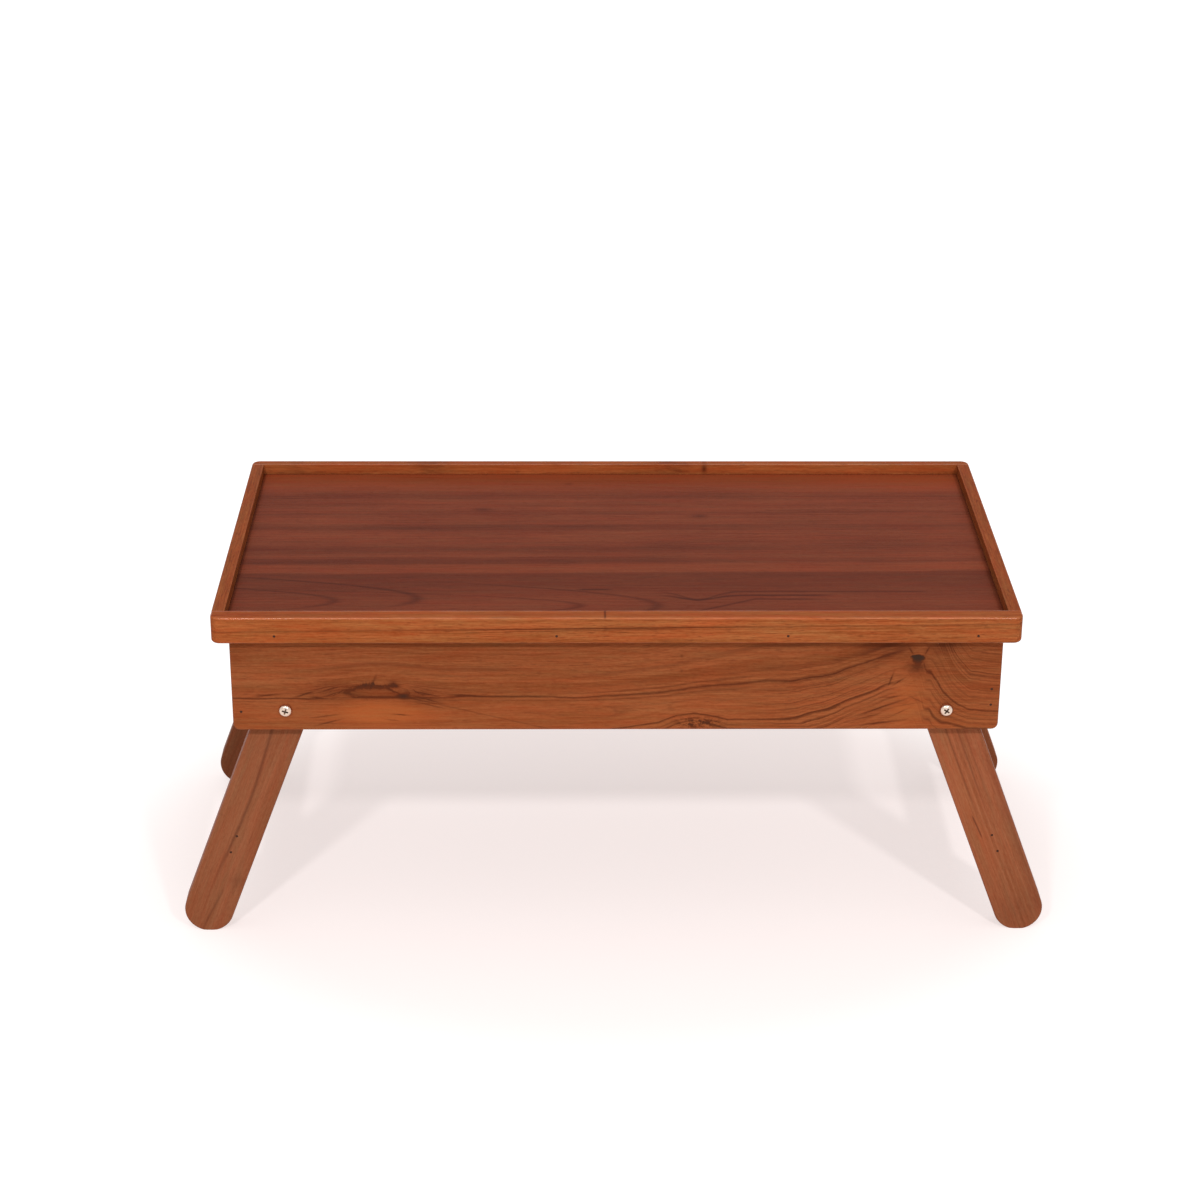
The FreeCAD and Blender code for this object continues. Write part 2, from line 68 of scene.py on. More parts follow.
# Edges of a fixed size
PANEL_EDGE = 0.3 * MM
SOLE_EDGE = 0.35 * MM

# Holes: how far a cutter stands out of a hole, and the radius and depth of each kind.
CUT_OVERRUN = 1 * MM
NAIL_BORE, NAIL_BORE_DEPTH = 1.02 * MM, 0.9 * MM
SINK_RADIUS, SINK_DEPTH = 3.52 * MM, 2 * MM
PIVOT_BORE, THROUGH_APRON, THROUGH_LEG = 2.55 * MM, 20 * MM, 25 * MM
NUT_BORE = 2.52 * MM

# Fasteners. A cross recess is its span, the width of its arms and its depth.
NAIL_RADIUS = 1 * MM
HEAD_ROUND, HEAD_FOOT = 2.7 * MM, 0.3 * MM
THREAD_START, THREAD_PITCH, THREAD_DEPTH = 22 * MM, 0.8 * MM, 0.35 * MM
SCREW_CHAMFER = 0.7 * MM
PIVOT_CROSS = (5.4 * MM, 1.3 * MM, 2.4 * MM)
BATTEN_CROSS = (3.8 * MM, 0.95 * MM, 1.5 * MM)
CROSS_OVERRUN = 0.6 * MM

# The stage. The floor is tinted in an ellipse, which fades out between two shares of its size.
FLOOR_REACH, FLOOR_GLOW = 9, 1.22
TINTED_FLOOR, TINT_FADE = (0.36, 0.30, 1), (0.85, 1.5)
SKY_HORIZON, SKY_RISE = 0.25, 1.25
# A lamp's name, and the direction and height at which it stands, in degrees.
LAMPS = (("left_lamp", -17.7, 35.5), ("right_lamp", 23.0, 34.6))
LAMP_TARGET, LAMP_DISTANCE, LAMP_WIDTH = (0, 0, 0.15), 3, 0.2
# The camera turns about the upright, dips from the level and rolls, in degrees.
CAMERA_PLACE = (-0.03847, -2.04122, 1.13158)
CAMERA_TURNS = ((-0.78, "Z"), (90 - 23.99, "X"), (0.29, "Z"))


# Settings

def length(name, text, default):
    return bpy.props.FloatProperty(
        name=name, description=text, default=default, min=0, unit="LENGTH", subtype="DISTANCE",
        precision=5)


def colour(name, text, default):
    return bpy.props.FloatVectorProperty(
        name=name, description=text, default=default, min=0, max=1, size=3, subtype="COLOR")


def share(name, text, default):
    return bpy.props.FloatProperty(
        name=name, description=text, default=default, min=0, max=1, subtype="FACTOR")


def amount(name, text, default, unit):
    return bpy.props.FloatProperty(name=name, description=text, default=default, unit=unit)


class DeskWoods(bpy.types.PropertyGroup):
    """Colours of the woods, as they look between the dark lines of the grain."""
    panel: colour("Panel", "Red-brown wood of the tray panel", (0.197, 0.0476, 0.0199))
    strips: colour("Strips", "Orange-brown wood of the rim", (0.283, 0.0745, 0.0218))
    aprons: colour("Aprons", "Brown wood of the apron boards", (0.240, 0.0635, 0.0208))
    legs: colour("Legs", "Brown wood of the legs and stretchers", (0.250, 0.079, 0.0345))
    inner: colour("Battens", "Plain wood of the hidden battens", (0.30, 0.12, 0.05))
    gloss: share("Gloss", "Weight of the lacquer's coat", 0.01)
    edge_gloss: share("Edge gloss", "Weight of the coat where handling has polished the edges", 0.7)
    wear: share("Wear", "How much paler the handled edges are", 0.22)


class DeskMetals(bpy.types.PropertyGroup):
    """Colours of the fasteners."""
    nickel: colour("Nickel", "Plate of the pivot screws", (0.70, 0.54, 0.44))
    zinc: colour("Zinc", "Plate of the nuts, washers and batten screws", (0.52, 0.52, 0.50))
    filler: colour("Filler", "Dark wax over the nail heads", (0.038, 0.016, 0.010))


class DeskEdges(bpy.types.PropertyGroup):
    """Radii of the worked edges."""
    strip_corner: length("Strip corners", "Upright corners of the rim", 6.5 * MM)
    strip_top: length("Strip top", "Outer top edge of the rim", 1.5 * MM)
    strip_bottom: length("Strip bottom", "Outer lower edge of the rim", 2.5 * MM)
    apron_corner: length("Apron corners", "Lower corners of the apron", 5 * MM)
    apron_face: length("Apron face", "Outer edges of the long aprons", 1.2 * MM)
    leg_edge: length("Leg edges", "Long edges of the legs", 1.5 * MM)
    stretcher_edge: length("Stretcher edges", "Long edges of the stretchers", 1 * MM)
    eased: length("Eased", "All other edges, eased with fine paper", 0.4 * MM)


class DeskStudio(bpy.types.PropertyGroup):
    """The stage round the desk."""
    sky: share("Sky", "Strength of the light from all round", 0.61)
    left_lamp: amount("Left lamp", "Power of the lamp at the front left", 28, "POWER")
    right_lamp: amount("Right lamp", "Power of the lamp at the front right", 28, "POWER")
    floor: colour("Floor", "Pale floor near the desk", (0.99, 0.90, 0.88))
    backdrop: colour("Backdrop", "Floor away from the desk", (1, 1, 1))
    lens: amount("Lens", "Focal length of the camera", 84.2328, "CAMERA")


# Node trees

def socket_of(sockets, key):
    """A node's socket by its number, its identifier or its name."""
    if isinstance(key, int):
        return sockets[key]
    for test in (lambda s: s.identifier == key, lambda s: s.name == key and s.enabled):
        found = [s for s in sockets if test(s)]
        if found:
            return found[0]
    raise KeyError(key)


def maths(operation):
    """A method that adds a Math node to a wire's tree."""
    return lambda self, *others: self.node("ShaderNodeMath", {"operation": operation},
                                           dict(enumerate((self,) + others)))


class Wire:
    """An output socket. Arithmetic on it adds Math nodes to its tree."""

    __add__, __sub__, __mul__ = maths("ADD"), maths("SUBTRACT"), maths("MULTIPLY")
    __truediv__, __pow__, __abs__ = maths("DIVIDE"), maths("POWER"), maths("ABSOLUTE")
    low, high = maths("MINIMUM"), maths("MAXIMUM")
    exp, root = maths("EXPONENT"), maths("SQRT")

    def __init__(self, tree, socket=None):
        self.tree, self.socket = tree, socket

    def node(self, kind, settings=None, inputs=None, output=0):
        """Adds a node: its settings first, then the values or wires of its sockets."""
        made = self.tree.nodes.new(kind)
        for name, value in (settings or {}).items():
            if name == "stops":
                ramp = made.color_ramp.elements
                ramp[0].position, ramp[-1].position = value[0][0], value[-1][0]
                for place, _ in value[1:-1]:
                    ramp.new(place)
                for element, (_, tint) in zip(ramp, value):
                    element.color = tint
            elif name == "ramp":
                made.color_ramp.interpolation = value
            else:
                setattr(made, name, value)
        for key, value in (inputs or {}).items():
            target = socket_of(made.inputs, key)
            if isinstance(value, Wire):
                self.tree.links.new(value.socket, target)
            else:
                target.default_value = value
        return Wire(self.tree, socket_of(made.outputs, output) if made.outputs else None)

    def __rsub__(self, other):
        return self.node("ShaderNodeMath", {"operation": "SUBTRACT"}, {0: other, 1: self})

    def vector(self, operation, other=None, output=0):
        inputs = {0: self} if other is None else {0: self, 1: other}
        return self.node("ShaderNodeVectorMath", {"operation": operation}, inputs, output)

    def parts(self):
        split = self.node("ShaderNodeSeparateXYZ", None, {0: self})
        return [Wire(self.tree, socket) for socket in split.socket.node.outputs]

    def bell(self, width):
        """1 at zero, falling away over a width on either side."""
        scaled = self / width
        return (scaled * scaled * -1).exp()

    def step(self, start, end):
        """Rises smoothly from 0 at the start to 1 at the end."""
        return self.node("ShaderNodeMapRange", {"interpolation_type": "SMOOTHSTEP"},
                         {"Value": self, "From Min": start, "From Max": end})

    def within(self, low, high, soft):
        """1 between two places, falling softly to 0 outside them."""
        return self.step(low - soft, low + soft) * (1 - self.step(high - soft, high + soft))

    def curve(self, stops, ramp="CARDINAL"):
        """A curve through pairs of place and value."""
        low, high = stops[0][0], stops[-1][0]
        peak = max(value for _, value in stops)
        tints = [((place - low) / (high - low), (value / peak,) * 3 + (1,)) for place, value in stops]
        return self.node("ShaderNodeValToRGB", {"stops": tints, "ramp": ramp},
                         {0: (self - low) / (high - low)}) * peak

    def lines(self, lines):
        """Thin lines, each a level, a half width and a strength.

        A ramp holds 32 stops, so nine lines share one."""
        ramps = [self.curve([(level + side * half, strength * (side == 0))
                             for level, half, strength in lines[first:first + 9]
                             for side in (-1, 0, 1)], "LINEAR") for first in range(0, len(lines), 9)]
        return sum(ramps[1:], ramps[0])

    def mix(self, first, second):
        """Mixes two colours by this wire."""
        return self.node("ShaderNodeMix", {"data_type": "RGBA"},
                         {"Factor_Float": self, "A_Color": first, "B_Color": second},
                         "Result_Color")

    def noise(self, stretch=None, detail=2.0, rough=0.5, scale=1.0):
        """Noise on a vector, or on a number when there is no stretch. About 0 to 1."""
        if stretch is None:
            return self.node("ShaderNodeTexNoise", {"noise_dimensions": "1D"},
                             {"W": self, "Scale": scale, "Detail": detail, "Roughness": rough})
        return self.node("ShaderNodeTexNoise", {"noise_dimensions": "3D"},
                         {"Vector": self.vector("MULTIPLY", stretch), "Scale": scale,
                          "Detail": detail, "Roughness": rough})


def rgba(tint, factor=1.0):
    """A colour with alpha, times one factor or a factor for each channel."""
    factors = factor if isinstance(factor, tuple) else (factor,) * 3
    return tuple(min(part * times, 1.0) for part, times in zip(tint, factors)) + (1.0,)


def new_material(name):
    material = bpy.data.materials.new(name)
    material.use_nodes = True
    material.node_tree.nodes.clear()
    return material, Wire(material.node_tree)


def close_material(start, shader):
    """Joins the shader to the material's output."""
    start.node("ShaderNodeOutputMaterial", None, {"Surface": shader})


def close_raised(start, inputs, relief, strength, depth):
    """Closes a material with a surface that its relief raises."""
    bump = start.node("ShaderNodeBump", None, {
        "Strength": strength, "Distance": depth, "Height": relief}, "Normal")
    close_material(start, start.node("ShaderNodeBsdfPrincipled", None,
                                     dict(inputs, Normal=bump)))


# Wood

def box_edge(spot, reach):
    """Distance in millimetres from the nearest edge of a board."""
    x, y, z = reach.vector("SUBTRACT", spot.vector("ABSOLUTE")).parts()
    return x.low(y).high(x.high(y).low(z))


def leg_edge(spot, reach):
    """The same for a leg, whose outline is a bar with two round ends."""
    along, across, deep = spot.parts()
    span, radius, half = reach.parts()
    past = along - along.low(0).high(0 - span)
    rim = radius - (past * past + across * across).root()
    return rim.high(half - abs(deep))


# Places and levels of the figures are in millimetres from the middle of the board.
# A line is its level across the grain, its half width and its strength.
EYE, EYE_HALF, EYE_BULGE = (-179, -6.5), (24, 4.2), 11
KNOT = (225, 20)
LOW_KNOT = (62, -33)
APRON_LEFT = ((-29, 0.7, 0.2), (-23, 0.7, 0.25), (-14, 0.8, 0.35), (-11.2, 1.1, 1), (-7, 0.8, 0.3))
APRON_MIDDLE = ((-36.5, 1.2, 0.8), (-33, 0.9, 0.5), (-28.3, 1.1, 1), (-18, 0.9, 0.25),
                (-13.2, 0.9, 0.6), (-10.8, 1.1, 1), (-8, 0.8, 0.5), (-3, 1.6, 0.2), (4, 0.9, 0.2))
APRON_FAN = ((-37, 0.8, 0.8), (-34.5, 0.7, 0.5), (-31.5, 0.7, 0.7), (-28.3, 1.0, 1),
             (-25, 0.7, 0.4), (-21, 0.8, 0.4), (-15, 0.9, 0.4), (-10.8, 1.0, 0.9),
             (-5, 2.2, 0.35), (6, 2, 0.25))
APRON_RIGHT = ((-41, 0.8, 0.6), (-37, 1.2, 1), (-33, 0.8, 0.5), (-29, 0.7, 0.3), (-25.4, 0.8, 0.5),
               (-22, 1.2, 1), (-17, 0.8, 0.35), (-1, 0.8, 0.35), (2, 0.8, 0.4), (5, 0.9, 0.5),
               (8, 0.8, 0.4))
# A stroke is its place, level, slope, half length, half width and strength.
APRON_STROKES = ((-218, -26.5, 0.14, 9, 0.6, 0.8), (-216, -31.8, 0.28, 8, 0.6, 0.9),
                 (-162, -25.5, -0.08, 6, 0.6, 0.9), (-168, -30, -0.1, 5, 0.5, 0.6),
                 (-262, -9.3, 0.1, 9, 0.7, 1), (-234, -8.6, 0.32, 7, 0.8, 1),
                 (-224, -11.2, -0.12, 5, 0.8, 0.8), (-214, -4, 0.3, 9, 0.5, 0.6),
                 (-212, -8, 0.35, 8, 0.5, 0.6), (-141, -13, -0.3, 9, 0.5, 0.7),
                 (-143, -8, -0.25, 9, 0.5, 0.7), (-138, -18, -0.25, 8, 0.5, 0.6),
                 (-115, -9.2, -0.06, 11, 0.9, 1), (205.5, 4, 2.6, 1.6, 0.7, 0.9),
                 (211, 1.5, 0.7, 4, 0.6, 0.8), (201, 22, 0.5, 14, 2.2, 0.4),
                 (197, -20.5, 0.38, 19, 0.7, 1), (197, -32.8, 0.13, 16, 0.8, 1),
                 (184, -29, 0.28, 15, 0.5, 0.6), (207, -11, 0.1, 9, 0.5, 0.6),
                 (226, -13.5, -0.5, 5, 0.5, 0.6), (213, -24, 0.5, 6, 0.5, 0.6),
                 (218, -17.5, 0.2, 6, 0.5, 0.5), (219.5, 27, -1.3, 1.7, 0.8, 0.7),
                 (231.5, 27.5, 1.5, 1.5, 0.8, 0.7))
# How the grain is drawn up to the knot: a place along the board, then a share or a depth.
DRAWN_SHARE = ((-60, 0), (0, 0.12), (53, 0.29), (101, 0.43), (139, 0.42), (168, 0.35), (196, 0.3),
               (219, 0.3), (229, 0.5), (236, 0.5), (243, 0.45), (250, 0.28), (262, 0.08), (272, 0.03),
               (289, 0.005))
DRAWN_DEPTH = ((-60, 28), (53, 29), (101, 28.4), (139, 33), (168, 53), (196, 88), (219, 112),
               (229, 64), (236, 54), (243, 47), (250, 52), (262, 62), (289, 75))
SOOT = (0.036, 0.019, 0.013)
RING_SPACING = 1.9
# A share of metal tints the reflections, as under lacquer.
WOOD_SHEEN = 0.22
# The panel's bands are places across it and how dark it is there.
PANEL_BANDS = ((-140, 0.25), (-112, 0.15), (-94, 0.35), (-88, 0.5), (-75, 0.62), (-60, 0.75),
               (-57.5, 0.45), (-56, 0), (-42, 0), (-40, 0.5), (-36, 0.8), (-29, 0.4), (-24, 0.1),
               (-16, 0.4), (-9, 0.65), (-2, 0.35), (2, 0.25), (8, 0), (22, 0), (29, 0.45),
               (35, 0.7), (40, 0.25), (47, 0), (59, 0.1), (62, 0.4), (65, 0.05), (88, 0.05),
               (96, 0.25), (104, 0.3), (110, 0.05), (150, 0))
# An arch is the place of its tip and how wide it opens.
PANEL_ARCHES = ((-150, -108, 12), (-212, -112, 7), (-27, -121, 4), (31, -121, 12))


def apron_figure(spot, ring, rough):
    """The front apron: an eye at the left, a knot at the right and one at the lower edge.

    A figure gives the bent rings, then how dark and how pale each place is."""
    x, y, _ = spot.parts()
    ring = ring - (y + x.curve(DRAWN_DEPTH)).high(0) * x.curve(DRAWN_SHARE)
    eye_x, eye_y = x - EYE[0], y - EYE[1]
    above = eye_y.step(-6, 4) * ((eye_y - 4).high(0) / -34).exp()
    ring = ring - eye_x.bell(38) * EYE_BULGE * above
    ring = ring - x.within(-130, -45, 22) * 1.5
    ring = ring + ((45 - x) * 0.17).high(0).low(9) * (1 - y.step(-28, -16))
    ring = ring - (1 - abs(x - LOW_KNOT[0] + 4) / 26).high(0) * ((y + 26) / -9).exp().low(2) * 4.5
    fine = ring + rough * 2.2
    grit = spot.noise((1 / 4, 1 / 2.6, 1 / 2.6), 4, 0.7) - 0.5
    jag = spot.noise((1 / 1.6, 1 / 9, 1 / 4), 2, 0.6) - 0.5
    start, fan, turn = x.step(-70, 10), x.step(80, 120), x.step(226, 236)
    left = (1 - start) * (1 - x.within(-226, -126, 6) * y.within(-20, 6, 4))
    fanned = fan * (1 - x.step(198, 220)) * (1 - x.step(166, 188) * (1 - y.step(-24, -10)))
    middle = start * (1 - fan) * (1 - (1 - y.step(-28, -22)) * (1 - x.step(-30, 0)))
    dark = (fine.lines(APRON_LEFT) * left + fine.lines(APRON_MIDDLE) * middle
            + fine.lines(APRON_FAN) * fanned + fine.lines(APRON_RIGHT) * turn)
    dark = dark + (fine - 11.5).bell(2.4) * x.within(-225, -70, 30) * 0.4
    hair = 1 - abs(fine.noise(None, 1, 0.5, 0.5) - 0.5).step(0.0, 0.035)
    corners = ((abs(eye_x) - 36).bell(20) * (eye_y + 2).bell(10)
               + x.within(120, 190, 30) * y.within(-60, 14, 8) + x.within(236, 330, 10) * 0.6)
    dark = (dark + hair * corners * 0.6) * (rough + 0.66).step(0.25, 0.65)
    for place, level, slope, long, half, strength in APRON_STROKES:
        off = x - place
        stroke = (y - level - off * slope + grit * 1.4).bell(half * math.hypot(1, slope))
        dark = dark + stroke * off.bell(long) * strength

    # The eye's upper edge comes down to its lower edge at the right.
    sink = (eye_x - 6).high(0) * 0.25
    lens = (abs(eye_y + sink + 0.5) / (EYE_HALF[1] - sink).high(0.6)
            + (eye_x.low(0) / EYE_HALF[0]) ** 4 + grit * 1.2)
    inside = 1 - lens.step(0.85, 1.15)
    rim = (lens - 1.05).bell(0.34) * eye_x.within(-30, 22, 3) * (eye_y.step(-2, 2) * 0.4 + 0.6)
    rim = rim + (eye_y + 4.4 + grit * 1.2).bell(0.8) * eye_x.within(-20, 19, 3) * 0.8
    heap = (eye_x + 6).bell(7) + (eye_x - 13).bell(3.8) * 0.65
    soot = ((eye_y - 4.4 - (jag * 6 + 1.2) * heap - grit * 4).bell(heap * 1.1 + 1)
            * eye_x.within(-23, 17, 4) * (heap * 0.6 + 0.4))
    spike = (eye_x + 2.5 - (eye_y - 9) * 0.4).bell(1) * eye_y.within(7, 14, 2) * 0.55
    smudge = ((eye_x - 12).bell(4.5) * (eye_y - 6.5).bell(3) * 0.8
              + (eye_x + 24).bell(4) * eye_y.bell(5) * 0.4
              + (eye_x + 35).bell(12) * (eye_y - 1).bell(7) * 0.5
              + (eye_x - 32).bell(14) * (eye_y + 2 + eye_x * 0.06).bell(7) * 0.65)
    smudge = smudge * (grit + 0.65).step(0.2, 0.75)
    corner = (eye_x - 19.5).bell(4) * (eye_y + 3.6).bell(2)

    knot_x, knot_y = x - KNOT[0], y - KNOT[1]
    wedge = abs(knot_x) / ((knot_y + 8) * 0.5).low(4.6).high(0.3) + knot_y.step(3, 5) * 1.5
    heart = (1 - (wedge + grit * 2.2).step(0.5, 1.4)) * knot_y.step(-6.5, -3.5)
    smoke = (knot_x.bell(12) * (knot_y + 8).bell(13) * (grit + 0.5).step(0.2, 0.8) * 0.5
             + (knot_x + 0.5).bell(6.5) * (knot_y + 6.5).bell(5) * 0.65)
    roof = (x.within(182, 219, 12) + x.within(234, 256, 8)) * (y + rough * 16).step(19, 33) * 0.6
    low = ((x - LOW_KNOT[0]).bell(15) * (y - LOW_KNOT[1]).bell(4.5)
           * (grit * 2.2 + 0.55).step(0.4, 0.65))
    specks = (x - 48.5).bell(1.2) * ((y - 23).bell(1.2) + (y - 10.8).bell(1.2)) * 0.55
    # Painted shade: y.step(-8, 36) darkens the board from its middle up to its top, under the overhang
    # of the tray.
    dark = (dark + rim * 0.85 + inside * 0.3 + y.step(-8, 36) * 0.14 + soot + spike + smudge
            + corner + heart + smoke + roof + low + specks).low(1)
    black = (soot * (grit + 0.6).step(0.3, 0.8) * 0.8 + corner * 0.7
             + heart * (knot_y + grit * 5).step(-3.5, 1) * 0.9 + low * 0.5)
    dark = dark + black.low(1)

    patch = (x + 176).bell(33) * (y + 24).bell(9) * (rough * 1.5 + 1.7)
    cone = (x - 219).bell(13) * (y + 12).bell(24) * (rough * 2 + 0.8)
    # Painted light: the last term makes the lower half paler towards the bottom edge, for light from the
    # floor.
    return ring, dark, (patch + cone + (1 - y.step(-42, 2)) * 0.3).low(1.3)


def panel_figure(spot, ring, rough):
    """The tray panel: broad bands, arches and lines at the front and three small dark spots."""
    x, y, _ = spot.parts()
    bent = ring - x * 0.012 + rough * 3
    fading = 1 - x.step(20, 170) * bent.step(-56, -50) * 0.45
    dark = bent.curve(PANEL_BANDS) * (rough * 0.9 + 0.9) * fading
    wave = (x - 62).bell(17)
    lines = ((y + rough * 2 + 102 + wave * 9).bell(1.4) * x.within(38, 160, 12)
             + (y + rough * 2 + 95 + wave * 15).bell(1.3) * x.within(38, 235, 12) * 0.7
             + (y + rough * 2 + 109 - (x - 105).low(0) * 0.5).bell(1.4) * x.within(60, 150, 12) * 0.8
             + (y + 91).bell(1.4) * x.within(-28, -4, 4) * 0.8)
    for tip_x, tip_y, opening in PANEL_ARCHES:
        off = y - tip_y + rough * 3
        arch = (x - tip_x + off * off / opening).bell(5)
        lines = lines + arch * off.within(-14, 40, 8) * 0.6
    spots = ((x + 105).bell(7) * (y - 70).bell(4.5) + (x - 70).bell(7) * (y - 56).bell(3.6)
             + (x + 35).bell(3) * (y - 126).bell(3) * 0.6)
    front = (1 - y.step(-150, 20)) * 0.1
    dark = (dark * 0.75 + lines * 0.8 + spots * (rough + 0.75) * 0.8 + front).low(1)
    band = (bent + 49).bell(9) * 0.3
    # Paler towards the back and the right. The two steps within 40 mm of the back strip are a painted
    # reflection of that strip in the lacquer.
    back = y.step(100, 118) * (x.step(100, 280) * 0.45 + 0.45)
    pale_and_reflection = back + y.step(112, 147) * 0.4 + y.step(138, 147) * 0.6 + x.step(150, 290) * 0.15
    return ring, dark, (band + pale_and_reflection).low(1.4)


def strip_figure(spot, ring, rough):
    """The front strip: one long dark line that climbs to the right."""
    x, y, _ = spot.parts()
    climb = y - x * 0.0105 - 2.2 + rough * 1.4
    line = climb.bell(0.6) * (x.within(-110, 90, 50) * 0.6 + 0.5)
    twin = (climb + 1.4 - x * 0.006).bell(0.5) * x.within(-80, 40, 30) * 0.6
    notch = (x + 9).bell(0.8) * y.step(9.5, 10.5)
    # Painted highlight: a pale line along the rounded top front edge, strongest at the left end. Painted
    # light: the top face is paler except at its left end, for the light it takes from above.
    arris_highlight = (y - 10.1).bell(0.75) * ((x + 290).bell(150) * 0.5 + 0.3) * (rough + 0.75)
    top = y.step(9.6, 10.6)
    pale = (x + 300).bell(170) * (1 - top) * 0.3 + x.step(-300, -120) * top * 0.4 + arris_highlight
    return ring, (line + twin + notch + (1 - x.step(-290, -150)) * top * rough * 0.8).low(1), pale


def back_strip_figure(spot, ring, rough):
    """The back strip: dark flecks near the middle and the left, and a paler upper half."""
    x, y, _ = spot.parts()
    smoke = (rough + 0.5).step(0.3, 0.75)
    flecks = ((x - 78).bell(2.4) * (y - 7).bell(4) + (x - 50).bell(14) * smoke * 0.9
              + (x + 150).bell(16) * smoke * 0.7 + (x + 260).bell(12) * smoke * 0.5)
    return ring, flecks.low(1), y.step(3, 7) * (1 - y.step(9.8, 10.6)) * 0.5


def left_leg_figure(spot, ring, rough):
    """The left front leg: one dark line that bows out below the pivot."""
    x, y, _ = spot.parts()
    bow = y + 5 - (x + 90).bell(62) * 5 + rough * 1.2
    foot = y - 5 - (x + 170) * 0.115 + rough
    line = (bow.bell(1.2) * x.within(-160, 40, 35) * 0.6
            + foot.bell(1) * x.within(-212, -172, 10) * 0.4)
    return ring, line + (x + 161).bell(6) * (y - 12).bell(7) * 0.25, None


def right_leg_figure(spot, ring, rough):
    """The right front leg: fine straight lines, a dark outer side and one short check."""
    x, y, _ = spot.parts()
    side = (y - 17 + rough * 3).bell(4.5) * x.within(-195, -45, 30) * 0.32
    lines = ((y + 6 + rough).bell(0.8) * 0.45 + (y - 2 + rough).bell(0.7) * 0.45
             + (y - 7 + rough).bell(0.7) * 0.3) * x.within(-95, 30, 25)
    check = (y + 9.4 + (x + 100) * 0.07).bell(0.5) * x.within(-122, -102, 3) * 0.9
    toe = (x + 195).bell(16) * (rough + 0.5) * 0.4
    return ring, (side + lines + check + toe).low(1), (y + 9).bell(7) * x.within(-150, 30, 30) * 0.25


def plain_figure(spot, ring, rough):
    """Boards without knots."""
    return ring, None, None


# Each leg's figure, how light it is drawn, the tilt of its rings and where it lay in its log.
LEG_WOODS = {
    "left_front_leg": (left_leg_figure, 0.96, 0.5, (90, 0, 0)),
    "left_rear_leg": (plain_figure, 0.66, 0.8, (90, 120, 0)),
    "right_front_leg": (right_leg_figure, 1.1, 0.5, (490, 33, 55)),
    "right_rear_leg": (plain_figure, 0.9, 0.8, (490, 153, 55))}


